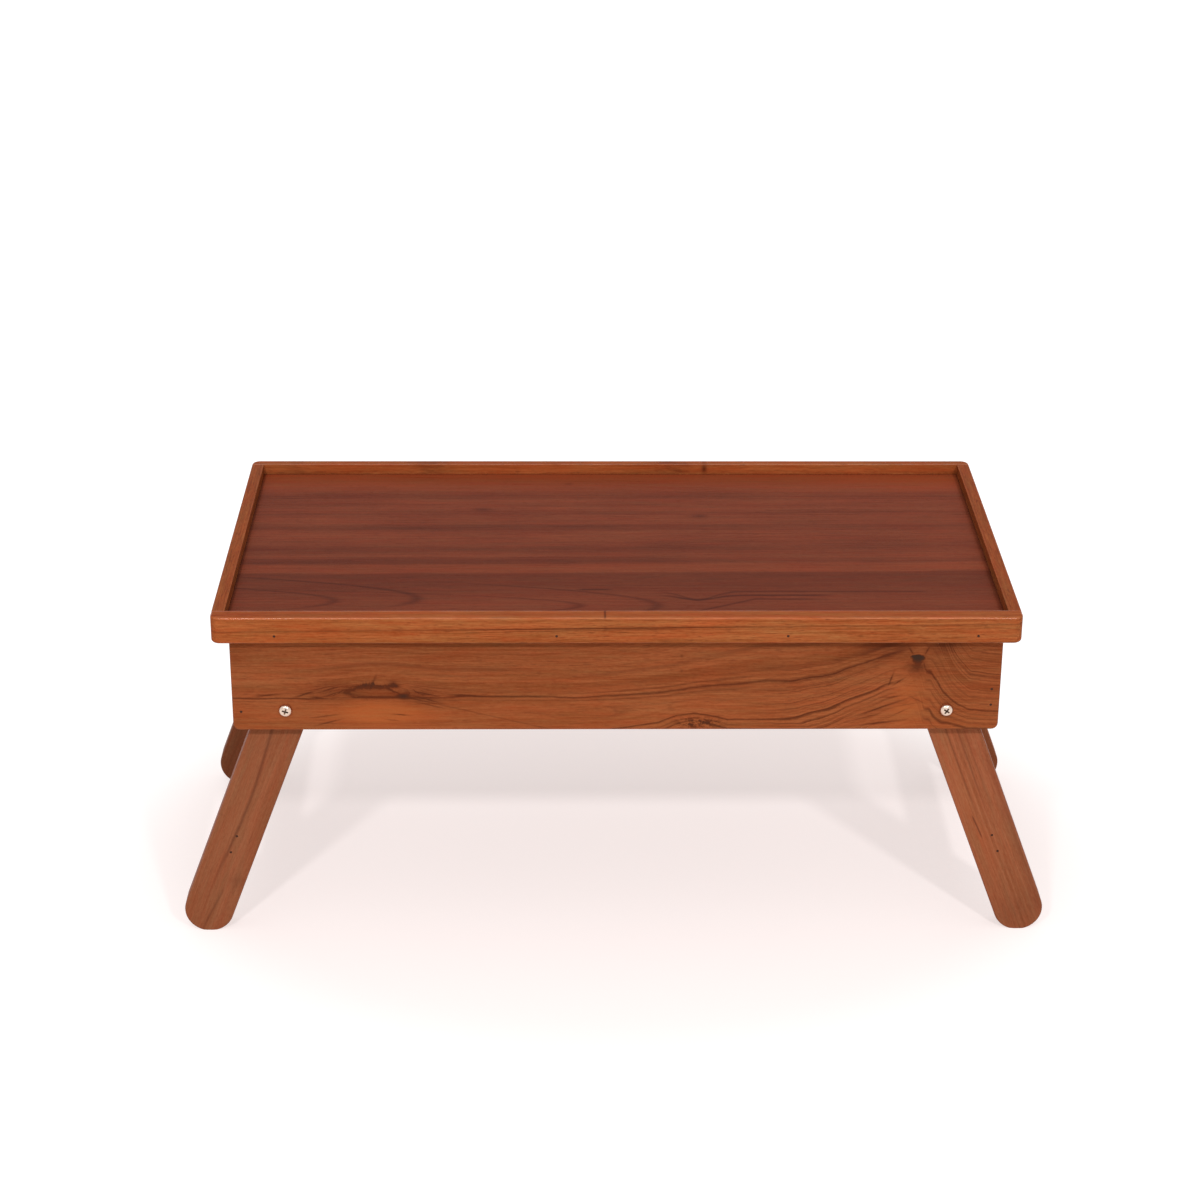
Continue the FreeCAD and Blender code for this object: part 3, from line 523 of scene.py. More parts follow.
def wood(name, tint, desk, figure=plain_figure, edge=box_edge, tilt=0.35, wander=6.0, bands=0.5,
         lines=0.5, streaks=1.0, grime=0.0, heart=None, rough=0.42, hue=0.4, handled=0.15):
    """A lacquered wood whose growth rings run through the whole board.

    It reads three attributes of the mesh, in millimetres: timber, the place in the board
    with the grain along x; log, where the board lay in its log; and reach, its half sizes."""
    material, start = new_material(name)
    spot, log, reach = [
        start.node("ShaderNodeAttribute", {"attribute_name": word}, None, "Vector")
        for word in ("timber", "log", "reach")]
    at = spot.vector("ADD", log)
    along, across, deep = spot.parts()
    drift = at.noise((1 / 210, 1 / 46, 1 / 46), 3, 0.55) - 0.5
    if heart:
        # Rings about a pith that lies under the face, so the face shows arches.
        away, below = across - heart[0], deep + heart[1]
        ring = (away * away + below * below).root() + along * heart[2]
    else:
        ring = across * math.cos(tilt) + deep * math.sin(tilt)
    ring = ring + drift * wander
    flecks = at.noise((1 / 20, 1 / 6, 1 / 6), 5, 0.68) - 0.5
    ring, dark, pale = figure(spot, ring, flecks)

    shifted = ring + log.parts()[1]
    year = shifted.noise(None, 1, 0.5, 1 / RING_SPACING) - 0.5
    wide = shifted.noise(None, 2, 0.5, 0.12) - 0.5
    ridge = abs(shifted.noise(None, 0, 0.5, 0.17) - 0.5)
    fade = at.noise((1 / 80, 1 / 9, 1 / 9), 1, 0.5)
    thin = (1 - ridge.step(0.0, 0.024)) * fade.step(0.36, 0.62)
    strands = at.noise((1 / 60, 0.55, 0.55), 3, 0.6) - 0.5
    fine = at.noise((1 / 22, 1.3, 1.3), 2, 0.6) - 0.5
    dashes = at.noise((1 / 9, 0.95, 0.95), 1, 0.5).step(0.57, 0.72)
    pores = at.noise((1 / 5.5, 3.1, 3.1), 1, 0.5).step(0.60, 0.72)
    cloud = at.noise((1 / 120, 1 / 26, 1 / 26), 2, 0.5) - 0.5

    mottle = at.noise((1 / 3.5, 0.9, 0.9), 2, 0.6) - 0.5
    tone = (year * 0.5 + mottle * 0.55 + wide * 1.5 * bands + strands * 0.8 * streaks
            + fine * 1.2 * streaks + cloud * 0.9 + 0.5).high(0).low(1)
    body = tone.mix(rgba(tint, (0.72, 0.64, 0.56)), rgba(tint, (1.27, 1.37, 1.46)))
    deep_tint = rgba(tint, (0.40, 0.36, 0.46))[:3]
    body = (thin * lines).mix(body, rgba(deep_tint, 1.25))
    body = (dashes * 0.32 * streaks + pores * 0.22).mix(body, rgba(deep_tint))
    if pale is not None:
        body = (pale * 0.55).mix(body, rgba(tint, (1.55, 1.4, 1.15)))
    if dark is not None:
        body = (dark.low(1) * 0.85).mix(body, rgba(deep_tint, 0.75))
        body = (dark - 1).high(0).mix(body, rgba(SOOT))
    patches = at.noise((1 / 50, 1 / 6, 1 / 6), 4, 0.65) * 2 + mottle * 0.6 - 0.5
    redder, yellower = [(1 - sign * 0.05, 1 + sign * 0.28 * hue, 1 + sign * 0.34 * hue, 1)
                        for sign in (-1, 1)]
    body = body.vector("MULTIPLY", patches.high(0).low(1).mix(redder, yellower))
    gap = edge(spot, reach)
    flaws = at.noise((0.05, 0.3, 0.3), 2, 0.5) - 0.5
    worn = 1 - (gap + flaws * 1.6).step(0.2, 1.5)
    polish = (1 - (gap + flaws * 0.8).step(0.8, 1.7)) * (fine + 0.5).step(0.25, 0.6) * handled
    body = (worn * desk.woods.wear * fade.step(0.3, 0.6)).mix(body, rgba(tint, 1.5))
    # Painted shade: a band a few millimetres wide along the panel's edges is darkened, where the strips
    # stand on it.
    if grime:
        x, y, _ = reach.vector("SUBTRACT", spot.vector("ABSOLUTE")).parts()
        seam_shade = 1 - (x.low(y) + flaws * 1.4).step(0.1, 2.6)
        body = (seam_shade * grime).mix(body, rgba(deep_tint, 0.7))
    shine = (strands * 0.10 + fine * 0.08 + pores * 0.18 + cloud * 0.14 - worn * 0.05
             + rough).high(0.15).low(0.9)
    relief = strands * 0.4 + fine * 0.4 - dashes * 0.5 - pores * 0.5 - thin * 0.4
    close_raised(start, {
        "Base Color": body, "Roughness": shine, "IOR": 1.45, "Specular IOR Level": 0.02,
        "Specular Tint": rgba(tint, 2.2), "Metallic": WOOD_SHEEN, "Coat Roughness": 0.22,
        "Coat Weight": polish * desk.woods.edge_gloss + desk.woods.gloss}, relief, 0.35, 0.12 * MM)
    return material


# Metal and wax

def metal(name, tint, rough=0.28, scratch=0.5, grain=900.0):
    """Plated steel with fine scratches and dull spots. An attribute of the mesh darkens and dulls a
    recess, as painted shade.
    """
    material, start = new_material(name)
    place = start.node("ShaderNodeTexCoord", None, None, "Object")
    spots = place.noise((grain * 0.6,) * 3, 3, 0.6) - 0.5
    scores = place.noise((grain * 0.2, grain * 0.2, grain * 3), 2, 0.6) - 0.5
    stain = place.noise((grain * 0.25,) * 3, 2, 0.5).step(0.55, 0.8)
    body = (stain * 0.35).mix(rgba(tint), rgba(tint, (0.6, 0.52, 0.45)))
    # Painted shade: the walls of a cross recess are drawn dark and rough.
    grime = start.node("ShaderNodeAttribute", {"attribute_name": "grime"}, None, "Fac")
    body = (grime * 0.75).mix(body, rgba(tint, (0.12, 0.09, 0.07)))
    shine = (spots * 0.22 + scores * 0.15 * scratch + stain * 0.12 + grime * 0.3 + rough).high(0.08)
    close_raised(start, {"Base Color": body, "Metallic": 1.0, "Roughness": shine},
                 spots + scores * scratch, 0.2, 0.02 * MM)
    return material


def wax(name, tint, grain=900.0):
    """Dark filler over a nail head, duller than the lacquer."""
    material, start = new_material(name)
    place = start.node("ShaderNodeTexCoord", None, None, "Object")
    lumps = place.noise((grain,) * 3, 3, 0.6)
    close_raised(start, {
        "Base Color": lumps.mix(rgba(tint, 0.6), rgba(tint, 2.2)),
        "Roughness": lumps * 0.3 + 0.45, "Specular IOR Level": 0.04}, lumps, 0.5, 0.1 * MM)
    return material


# Forms

def fits(edge, axis, level):
    """True for an edge that lies at a level of an axis."""
    return all(abs(vertex.co[axis] - level) < TOUCH for vertex in edge.verts)


def runs(edge, axis):
    """True for an edge that runs along an axis."""
    step = edge.verts[1].co - edge.verts[0].co
    return abs(abs(step[axis]) - step.length) < TOUCH


def box_form(half):
    form = bmesh.new()
    bmesh.ops.create_cube(form, size=2)
    bmesh.ops.scale(form, vec=half, verts=form.verts)
    return form


def circle(count):
    """The angles of points spread evenly round a circle."""
    return np.linspace(0, 2 * math.pi, count, endpoint=False)


def skin(rings, capped=True):
    """A form through rings of points. A ring may be a single point."""
    form = bmesh.new()
    rings = [[form.verts.new(spot) for spot in ring] for ring in rings]
    for upper, lower in zip(rings, rings[1:]):
        count = max(len(upper), len(lower))
        for index in range(count):
            after = (index + 1) % count
            corners = (upper[index % len(upper)], lower[index % len(lower)],
                       lower[after % len(lower)], upper[after % len(upper)])
            form.faces.new(list(dict.fromkeys(corners)))
    for ring in (rings[0], rings[-1]):
        if capped and len(ring) > 1:
            form.faces.new(ring)
    bmesh.ops.remove_doubles(form, verts=form.verts, dist=TOUCH / 10)
    bmesh.ops.recalc_face_normals(form, faces=form.faces)
    return form


def turned_form(profile, segments=48):
    """A form turned about Z from pairs of radius and height, top first."""
    return skin([[(0, 0, height)] if radius < TOUCH else
                 [(radius * math.cos(angle), radius * math.sin(angle), height)
                  for angle in circle(segments)] for radius, height in profile])


def leg_form(radius, span, half, edge_radius, steps=28):
    """A bar with two round ends, its pivot at the origin and its foot below."""
    outline = [(radius * math.cos(angle), radius * math.sin(angle) - drop)
               for start, drop in ((0, 0), (math.pi, span))
               for angle in np.linspace(start, start + math.pi, steps + 1)]
    form = skin([[(x, y, z) for x, z in outline] for y in (-half, half)])
    soften(form, edge_radius, 4, lambda edge: fits(edge, 1, -half) or fits(edge, 1, half))
    return form


def soften(form, radius, steps, wanted):
    """Rounds the edges that pass a test."""
    edges = [edge for edge in form.edges if wanted(edge)]
    bmesh.ops.bevel(form, geom=edges, offset=radius, offset_type="OFFSET", segments=steps,
                    profile=0.5, affect="EDGES", clamp_overlap=False)


def ease(form, radius):
    """Rounds every edge that is still sharp."""
    soften(form, radius, 2, lambda edge: len(edge.link_faces) == 2
           and edge.calc_face_angle(0) > math.radians(60))


def cut_sole(form, place):
    """Cuts a leg flat where it meets the floor once it is in place, and eases the cut."""
    form.transform(place)
    trim = bmesh.ops.bisect_plane(
        form, geom=form.verts[:] + form.edges[:] + form.faces[:],
        plane_co=(0, 0, 0), plane_no=(0, 0, -1), clear_outer=True)
    rim = [item for item in trim["geom_cut"] if isinstance(item, bmesh.types.BMEdge)]
    bmesh.ops.edgeloop_fill(form, edges=rim)
    bmesh.ops.recalc_face_normals(form, faces=form.faces)
    soften(form, SOLE_EDGE, 2, lambda edge: fits(edge, 2, 0)
           and edge.calc_face_angle(0) > math.radians(20))
    form.transform(place.inverted())


# Objects

def new_object(name, data):
    made = bpy.data.objects.new(name, data)
    bpy.context.scene.collection.objects.link(made)
    return made


def form_object(name, form):
    mesh = bpy.data.meshes.new(name)
    form.to_mesh(mesh)
    form.free()
    return new_object(name, mesh)


def settle(thing):
    """Replaces an object's mesh by what its modifiers make of it, and clears them."""
    graph = bpy.context.evaluated_depsgraph_get()
    mesh = bpy.data.meshes.new_from_object(thing.evaluated_get(graph))
    thing.modifiers.clear()
    old, thing.data = thing.data, mesh
    mesh.name = thing.name
    bpy.data.meshes.remove(old)


def smooth(thing):
    """Shades an object smoothly, with its broad faces flat and its sharp edges kept."""
    thing.data.shade_smooth()
    thing.data.set_sharp_from_angle(angle=SMOOTH_ANGLE)
    weighted = thing.modifiers.new("flat_faces", "WEIGHTED_NORMAL")
    weighted.keep_sharp = True
    weighted.weight = 100
    settle(thing)


def cut_away(thing, cutter):
    drill = thing.modifiers.new("cut", "BOOLEAN")
    drill.operation, drill.solver, drill.object = "DIFFERENCE", "EXACT", cutter
    settle(thing)
    bpy.data.objects.remove(cutter)


def hole_cutter(holes):
    """One mesh of round cutters. A hole is a seat, an outward direction, a radius and a depth."""
    form = bmesh.new()
    for seat, outward, radius, deep in holes:
        turn = outward.to_track_quat("Z", "Y").to_matrix().to_4x4()
        middle = seat + outward * (CUT_OVERRUN - deep) / 2
        bmesh.ops.create_cone(form, cap_ends=True, segments=24, radius1=radius, radius2=radius,
                              depth=deep + CUT_OVERRUN, matrix=Matrix.Translation(middle) @ turn)
    return form_object("cutter", form)


def hand_over(thing, body, slot, *nodes):
    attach(thing, body)
    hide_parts(*nodes)


# Timber

def turned_grain(*rows):
    """The matrix from a piece's own axes to its timber axes: along, across and through."""
    return Matrix(rows).to_4x4()


FACING = turned_grain((1, 0, 0), (0, 0, 1), (0, -1, 0))
LYING = turned_grain((1, 0, 0), (0, 1, 0), (0, 0, 1))
RIM_SIDE = turned_grain((0, 1, 0), (-1, 0, 0), (0, 0, 1))
BOX_SIDE = turned_grain((0, 1, 0), (0, 0, 1), (1, 0, 0))
UPRIGHT = turned_grain((0, 0, 1), (1, 0, 0), (0, 1, 0))


def node_box(node):
    """The middle and the half sizes of a node's box."""
    low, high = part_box(node)
    return (low + high) / 2, (high - low) / 2


def timber_reach(grain, half):
    return [abs(part) for part in grain.to_3x3() @ half]


def mark_timber(thing, place, grain, reach, log):
    """Stores where each point lies in its board, for the wood to read."""
    mesh = thing.data
    count = len(mesh.vertices)
    points = np.empty(count * 3, np.float32)
    mesh.vertices.foreach_get("co", points)
    back = np.array((grain @ place.inverted()), float)
    local = points.reshape(-1, 3) @ back[:3, :3].T + back[:3, 3]
    for word, rows in (("timber", local / MM), ("log", np.tile(log, (count, 1))),
                       ("reach", np.tile(np.array(reach) / MM, (count, 1)))):
        attribute = mesh.attributes.new(word, "FLOAT_VECTOR", "POINT")
        attribute.data.foreach_set("vector", rows.astype(np.float32).ravel())


def timber(node, part, form, grain, log, finish, slot, holes=(), body=DESK, place=None, reach=None):
    """Makes a form the finished piece of a wooden node: drilled, smoothed and marked.

    Its place and its half sizes are those of the node's box unless they are given."""
    middle, half = node_box(node)
    if place is None:
        place = Matrix.Translation(middle)
    form.transform(place)
    thing = form_object("%s_%s" % (node, part), form)
    if holes:
        cut_away(thing, hole_cutter(holes))
    smooth(thing)
    mark_timber(thing, place, grain, reach or timber_reach(grain, half), log)
    thing.data.materials.clear()
    thing.data.materials.append(finish)
    hand_over(thing, body, slot, node)


# Places of the fasteners

def islands(node):
    """The boxes of the separate solids in a CAD node, as their low and high corners."""
    form = bmesh.new()
    form.from_mesh(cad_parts[node].data)
    bmesh.ops.remove_doubles(form, verts=form.verts, dist=TOUCH)
    boxes, unseen = [], dict.fromkeys(form.verts)
    while unseen:
        stack, group = [unseen.popitem()[0]], []
        while stack:
            vertex = stack.pop()
            group.append(vertex.co.copy())
            for edge in vertex.link_edges:
                other = edge.other_vert(vertex)
                if other in unseen:
                    del unseen[other]
                    stack.append(other)
        rows = np.array(group)
        boxes.append((Vector(rows.min(0)), Vector(rows.max(0))))
    form.free()
    return sorted(boxes, key=lambda pair: [round(part, 6) for part in pair[0]])


def seats(node, toward=None):
    """Where each fastener of a node has its head, and the direction in which it faces.

    The head faces away from the middle of the desk, or the way that is asked for."""
    found = []
    for low, high in islands(node):
        size = high - low
        axis = max(range(3), key=lambda index: size[index])
        middle = (low + high) / 2
        sign = toward[axis] if toward else math.copysign(1, middle[axis])
        outward = Vector([sign if index == axis else 0 for index in range(3)])
        found.append((middle + outward * size[axis] / 2, outward))
    return found


def raised(seat, way, nodes):
    """A seat moved along its way to the outermost face of some nodes."""
    level = max(corner.dot(way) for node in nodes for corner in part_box(node))
    return seat + way * (level - seat.dot(way))


def nail_seats(node, carriers):
    """The seats of a node's nails on the surface of what carries them."""
    return [(raised(seat, way, carriers), way) for seat, way in seats(node)]


def leg_nail_seats(side):
    return nail_seats(side + "_leg_nails", (side + "_front_leg", side + "_rear_leg"))


def pivot_nodes(kind):
    return ["%s_%s_%s" % (end, side, kind) for end, _ in ENDS for side, _ in SIDES]


def pivot_seats():
    """The seat of each pivot screw's head on the outer face of a long apron."""
    found = []
    for name in pivot_nodes("pivot_screw"):
        middle, _ = node_box(name)
        way = Vector((0, math.copysign(1, middle.y), 0))
        found.append((raised(middle, way, LONG_APRONS), way))
    return found


def bores(places, outward, radius, deep):
    """The holes of the fasteners that face one way."""
    return [(seat, way, radius, deep) for seat, way in places if way.dot(outward) > 0.5]


def leg_measures(side, sign):
    """A side's pivot, and the lean, span, radius and half thickness of its legs, at rest."""
    name = side + "_front_leg"
    low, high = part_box(name)
    pivot, _ = node_box("front_%s_pivot_screw" % side)
    radius = high.z - pivot.z
    # The floor cuts the foot flat, and the cut's width tells how high its centre is.
    sole = [vertex.co.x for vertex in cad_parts[name].data.vertices if vertex.co.z < ON_FLOOR]
    drop = pivot.z - math.sqrt(radius ** 2 - ((max(sole) - min(sole)) / 2) ** 2)
    foot = (high.x - radius) if sign > 0 else (low.x + radius)
    reach = abs(foot - pivot.x)
    return pivot, math.atan2(reach, drop), math.hypot(reach, drop), radius, (high.y - low.y) / 2


# Repeated fasteners

def fastener_tree():
    """Geometry nodes that seat a copy of a pattern on each point, turned to its direction."""
    tree = bpy.data.node_groups.new("seated_fasteners", "GeometryNodeTree")
    for name, kind in (("Seats", "Geometry"), ("Pattern", "Object"), ("Largest Turn", "Float"),
                       ("Seed", "Int"), ("Finish", "Material")):
        tree.interface.new_socket(name=name, in_out="INPUT", socket_type="NodeSocket" + kind)
    tree.interface.new_socket(name="Fasteners", in_out="OUTPUT", socket_type="NodeSocketGeometry")
    start = Wire(tree)
    given = {socket.name: Wire(tree, socket)
             for socket in tree.nodes.new("NodeGroupInput").outputs if socket.name}
    outward = start.node("GeometryNodeInputNamedAttribute", {"data_type": "FLOAT_VECTOR"},
                         {"Name": "outward"})
    faced = start.node("FunctionNodeAlignRotationToVector", {"axis": "Z"}, {"Vector": outward})
    turn = start.node("FunctionNodeRandomValue", {"data_type": "FLOAT"},
                      {"Min_001": 0.0, "Max_001": given["Largest Turn"], "Seed": given["Seed"]},
                      "Value_001")
    spin = start.node("FunctionNodeAxisAngleToRotation", None,
                      {"Axis": (0, 0, 1), "Angle": turn})
    faced = start.node("FunctionNodeRotateRotation", {"rotation_space": "LOCAL"},
                       {"Rotation": faced, "Rotate By": spin})
    pattern = start.node("GeometryNodeObjectInfo", None, {"Object": given["Pattern"]}, "Geometry")
    placed = start.node("GeometryNodeInstanceOnPoints", None,
                        {"Points": given["Seats"], "Instance": pattern, "Rotation": faced})
    real = start.node("GeometryNodeRealizeInstances", None, {"Geometry": placed})
    done = start.node("GeometryNodeSetMaterial", None,
                      {"Geometry": real, "Material": given["Finish"]})
    start.node("NodeGroupOutput", None, {"Fasteners": done})
    return tree


def seat_fasteners(name, places, pattern, material, turn, seed):
    """Seats copies of a pattern at places, each a point and an outward direction."""
    mesh = bpy.data.meshes.new(name)
    mesh.from_pydata([place for place, _ in places], [], [])
    outward = mesh.attributes.new("outward", "FLOAT_VECTOR", "POINT")
    outward.data.foreach_set("vector", [part for _, way in places for part in way])
    thing = new_object(name, mesh)
    tree = bpy.data.node_groups.get("seated_fasteners") or fastener_tree()
    keys = {item.name: item.identifier for item in tree.interface.items_tree
            if item.in_out == "INPUT"}
    nodes = thing.modifiers.new("seated", "NODES")
    nodes.node_group = tree
    nodes[keys["Pattern"]] = pattern
    nodes[keys["Largest Turn"]] = turn
    nodes[keys["Seed"]] = seed
    nodes[keys["Finish"]] = material
    settle(thing)
    return thing


def cross_cutter(top, span, width, deep):
    """A tapered cross, as a driver's point, going down from above a height."""
    rings = []
    for height, arm, half in ((top + CROSS_OVERRUN, span / 2 + 0.1 * MM, width / 2 + 0.05 * MM),
                              (top - deep, span * 0.22, width * 0.30)):
        quarter = [Vector((x, y, height)) for x, y in ((arm, half), (half, half), (half, arm))]
        rings.append([Matrix.Rotation(index * math.pi / 2, 3, "Z") @ corner
                      for index in range(4) for corner in quarter])
    return form_object("cross", skin(rings))


def recess(thing, top, span, width, deep):
    """Cuts a cross recess into a screw's head and marks its walls for painted shade."""
    cut_away(thing, cross_cutter(top, span, width, deep))
    smooth(thing)
    # Painted shade: walls deeper than a third of the recess get 1.
    grime = thing.data.attributes.new("grime", "FLOAT", "POINT")
    for vertex in thing.data.vertices:
        sunk = top - vertex.co.z
        inside = math.hypot(vertex.co.x, vertex.co.y) < span / 2
        grime.data[vertex.index].value = float(inside and deep / 3 < sunk < deep * 1.01)


def nut_form(flat, tall, bore, segments=48):
    """A hexagon nut with chamfered corners and a round collar, going down from its seat."""
    body, collar = tall * 0.72, flat * 0.86
    corner, rim = flat / math.cos(math.pi / 6), flat * 1.02
    bevel = 0.35 * MM
    rows = [(0, rim, True), (-bevel, corner, True), (bevel - body, corner, True), (-body, rim, True),
            (-body, collar, False), (0.5 * MM - tall, collar, False),
            (0.15 * MM - tall, collar - 0.2 * MM, False), (-tall, collar - 0.6 * MM, False),
            (-tall, bore, False), (0, bore, False)]
    rings = []
    for height, limit, six in rows:
        ring = []
        for angle in circle(segments):
            off = (angle + math.pi / 6) % (math.pi / 3) - math.pi / 6
            radius = min(limit, flat / math.cos(off)) if six else limit
            ring.append((radius * math.cos(angle), radius * math.sin(angle), height))
        rings.append(ring)
    return skin(rings + rings[:1], capped=False)


# Operators

class DeskOperator:
    """What the operators of the desk share: the nodes that they need, and their execution."""
    bl_options = {"REGISTER", "UNDO"}
    needs = ()

    def execute(self, context):
        missing = [node for node in self.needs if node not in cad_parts]
        if missing:
            raise RuntimeError("The packed desk has no node %s" % ", ".join(missing))
        self.make(context.scene.lap_desk)
        return {"FINISHED"}


class AddTrayPanel(DeskOperator, bpy.types.Operator):
    """Lays the red-brown panel between the strips"""
    bl_idname = "lap_desk.tray_panel"
    bl_label = "Tray Panel"
    needs = ("tray_panel",)

    def make(self, desk):
        _, half = node_box("tray_panel")
        form = box_form(half)
        soften(form, PANEL_EDGE, 2, lambda edge: fits(edge, 2, half.z))
        # The panel's edges are darkened as painted shade where the strips stand on it.
        finish = wood("panel_wood", desk.woods.panel, desk, panel_figure, tilt=0.05, wander=8,
                      bands=0.3, lines=0.15, streaks=0.9, grime=0.5, rough=0.30)
        timber("tray_panel", "board", form, LYING, (130, 40, 7), finish, "panel_wood")


class AddRimStrips(DeskOperator, bpy.types.Operator):
    """Sets the four strips of the rim round the panel"""
    bl_idname = "lap_desk.rim_strips"
    bl_label = "Rim Strips"
    needs = STRIPS + ("strip_nails",)

    def make(self, desk):
        nails = nail_seats("strip_nails", STRIPS)
        tint, edges = desk.woods.strips, desk.edges
        long = {"tilt": 0.5, "wander": 3, "bands": 0.3, "lines": 0.3, "streaks": 1.5, "hue": 0.7,
                "handled": 1.0}
        front = wood("front_strip_wood", tint, desk, strip_figure, **long)
        back = wood("back_strip_wood", rgba(tint, 1.18)[:3], desk, back_strip_figure, **long)
        side = wood("side_strip_wood", tint, desk, tilt=0.4, wander=4, bands=0.45, lines=0.5,
                    streaks=1.4, hue=0.7, handled=0.05)
        for name, way, grain, log, finish in (
                ("front_strip", (0, -1, 0), FACING, (310, 90, 22), front),
                ("back_strip", (0, 1, 0), FACING, (1010, 90, 22), back),
                ("left_strip", (-1, 0, 0), RIM_SIDE, (500, 30, 60), side),
                ("right_strip", (1, 0, 0), RIM_SIDE, (900, 85, 60), side)):
            _, half = node_box(name)
            form = box_form(half)
            worked = self.worked_edges(Vector(way), half)
            if grain is FACING:
                soften(form, edges.strip_corner, 6, lambda edge: runs(edge, 2) and worked(edge))
            for radius, level in ((edges.strip_top, half.z), (edges.strip_bottom, -half.z)):
                soften(form, radius, 4, lambda edge: fits(edge, 2, level) and worked(edge))
            ease(form, edges.eased)
            holes = bores(nails, Vector(way), NAIL_BORE, NAIL_BORE_DEPTH)
            timber(name, "bar", form, grain, log, finish, "strip_wood", holes)

    @staticmethod
    def worked_edges(way, half):
        """A test for the edges that show. A long strip shows its ends too, and a side strip doesn't."""
        if way.y:
            return lambda edge: not fits(edge, 1, -way.y * half.y)
        return lambda edge: fits(edge, 0, way.x * half.x)


class AddApronBoards(DeskOperator, bpy.types.Operator):
    """Stands the four boards of the box under the tray"""
    bl_idname = "lap_desk.apron_boards"
    bl_label = "Apron Boards"
    needs = LONG_APRONS + ("left_apron", "right_apron", "apron_nails")

    def make(self, desk):
        nails = nail_seats("apron_nails", LONG_APRONS)
        tint, edges = desk.woods.aprons, desk.edges
        front = wood("front_apron_wood", tint, desk, apron_figure, tilt=0.12, wander=3, bands=0.45,
                     lines=0.35)
        back = wood("back_apron_wood", tint, desk, wander=12, lines=0.6, heart=(4, 34, 0.012))
        side = wood("side_apron_wood", tint, desk, wander=12, lines=0.6, heart=(-8, 30, 0.03))
        for name, sign, log, finish in (("front_apron", -1, (0, 0, 0), front),
                                        ("back_apron", 1, (0, 0, 40), back)):
            _, half = node_box(name)
            form = box_form(half)
            soften(form, edges.apron_corner, 5, lambda edge: runs(edge, 1) and fits(edge, 2, -half.z))
            soften(form, edges.apron_face, 3, lambda edge: fits(edge, 1, sign * half.y)
                   and not fits(edge, 2, half.z))
            ease(form, edges.eased)
            way = Vector((0, sign, 0))
            holes = (bores(nails, way, NAIL_BORE, NAIL_BORE_DEPTH)
                     + bores(pivot_seats(), way, PIVOT_BORE, THROUGH_APRON))
            timber(name, "board", form, FACING, log, finish, "apron_wood", holes)
        for name, sign, log in (("left_apron", -1, (0, 0, 0)), ("right_apron", 1, (60, 300, 80))):
            _, half = node_box(name)
            form = box_form(half)
            soften(form, edges.apron_corner, 5, lambda edge: runs(edge, 1)
                   and fits(edge, 2, -half.z) and fits(edge, 0, sign * half.x))
            ease(form, edges.eased)
            timber(name, "board", form, BOX_SIDE, log, side, "apron_wood")


class AddBattens(DeskOperator, bpy.types.Operator):
    """Lines the top of the box with four battens"""
    bl_idname = "lap_desk.battens"
    bl_label = "Battens"
    needs = ("front_batten", "back_batten", "left_batten", "right_batten", "batten_screws")

    def make(self, desk):
        finish = wood("batten_wood", desk.woods.inner, desk, tilt=0.7, rough=0.6)
        screws = seats("batten_screws", DOWN)
        for index, (place, grain) in enumerate((("front", FACING), ("back", FACING),
                                                ("left", BOX_SIDE), ("right", BOX_SIDE))):
            name = place + "_batten"
            low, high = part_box(name)
            form = box_form((high - low) / 2)
            ease(form, desk.edges.eased)
            holes = [(seat, way, SINK_RADIUS, SINK_DEPTH) for seat, way in screws
                     if all(low[axis] < seat[axis] < high[axis] for axis in (0, 1))]
            timber(name, "bar", form, grain, (250 * index, 70 * index, 15), finish, "inner_wood",
                   holes)


class AddLegs(DeskOperator, bpy.types.Operator):
    """Hangs the four splayed legs on their pivots"""
    bl_idname = "lap_desk.legs"
    bl_label = "Legs"
    needs = tuple(LEG_WOODS)

    def make(self, desk):
        for side, sign in SIDES:
            pivot, lean, span, radius, half = leg_measures(side, sign)
            for end, end_sign in ENDS:
                name = "%s_%s_leg" % (side, end)
                figure, shade, tilt, log = LEG_WOODS[name]
                centre = Vector((pivot.x, node_box(name)[0].y, pivot.z))
                place = Matrix.Translation(centre) @ Matrix.Rotation(-sign * lean, 4, "Y")
                form = leg_form(radius, span, half, desk.edges.leg_edge)
                cut_sole(form, place)
                way = Vector((0, end_sign, 0))
                holes = bores(leg_nail_seats(side), way, NAIL_BORE, NAIL_BORE_DEPTH)
                holes += [(centre + way * half, way, PIVOT_BORE, THROUGH_LEG)]
                finish = wood(name + "_wood", rgba(desk.woods.legs, shade)[:3], desk, figure,
                              leg_edge, tilt=tilt, bands=0.2, lines=0.1, streaks=0.4, handled=0.25)
                timber(name, "bar", form, UPRIGHT, log, finish, "leg_wood", holes,
                       side + "_leg_frame", place, (span, radius, half))


class AddStretchers(DeskOperator, bpy.types.Operator):
    """Joins each front leg to its rear leg"""
    bl_idname = "lap_desk.stretchers"
    bl_label = "Stretchers"
    needs = ("left_stretcher", "right_stretcher")

    def make(self, desk):
        finish = wood("stretcher_wood", desk.woods.legs, desk, wander=8)
        radius = desk.edges.stretcher_edge
        for index, (side, sign) in enumerate(SIDES):
            name = side + "_stretcher"
            lean = leg_measures(side, sign)[1]
            middle, outer = node_box(name)
            # The box of the leaning board, with its round edges, gives its width and thickness.
            cos, sin = math.cos(lean), math.sin(lean)
            bulge = radius * (cos + sin - 1)
            tall, deep = outer.z + bulge, outer.x + bulge
            spread = cos * cos - sin * sin
            half = Vector(((deep * cos - tall * sin) / spread, outer.y,
                           (tall * cos - deep * sin) / spread))
            form = box_form(half)
            soften(form, radius, 3, lambda edge: runs(edge, 1))
            place = Matrix.Translation(middle) @ Matrix.Rotation(-sign * lean, 4, "Y")
            timber(name, "bar", form, BOX_SIDE, (300 * index, 150 * index, 25), finish, "leg_wood",
                   (), side + "_leg_frame", place, timber_reach(BOX_SIDE, half))


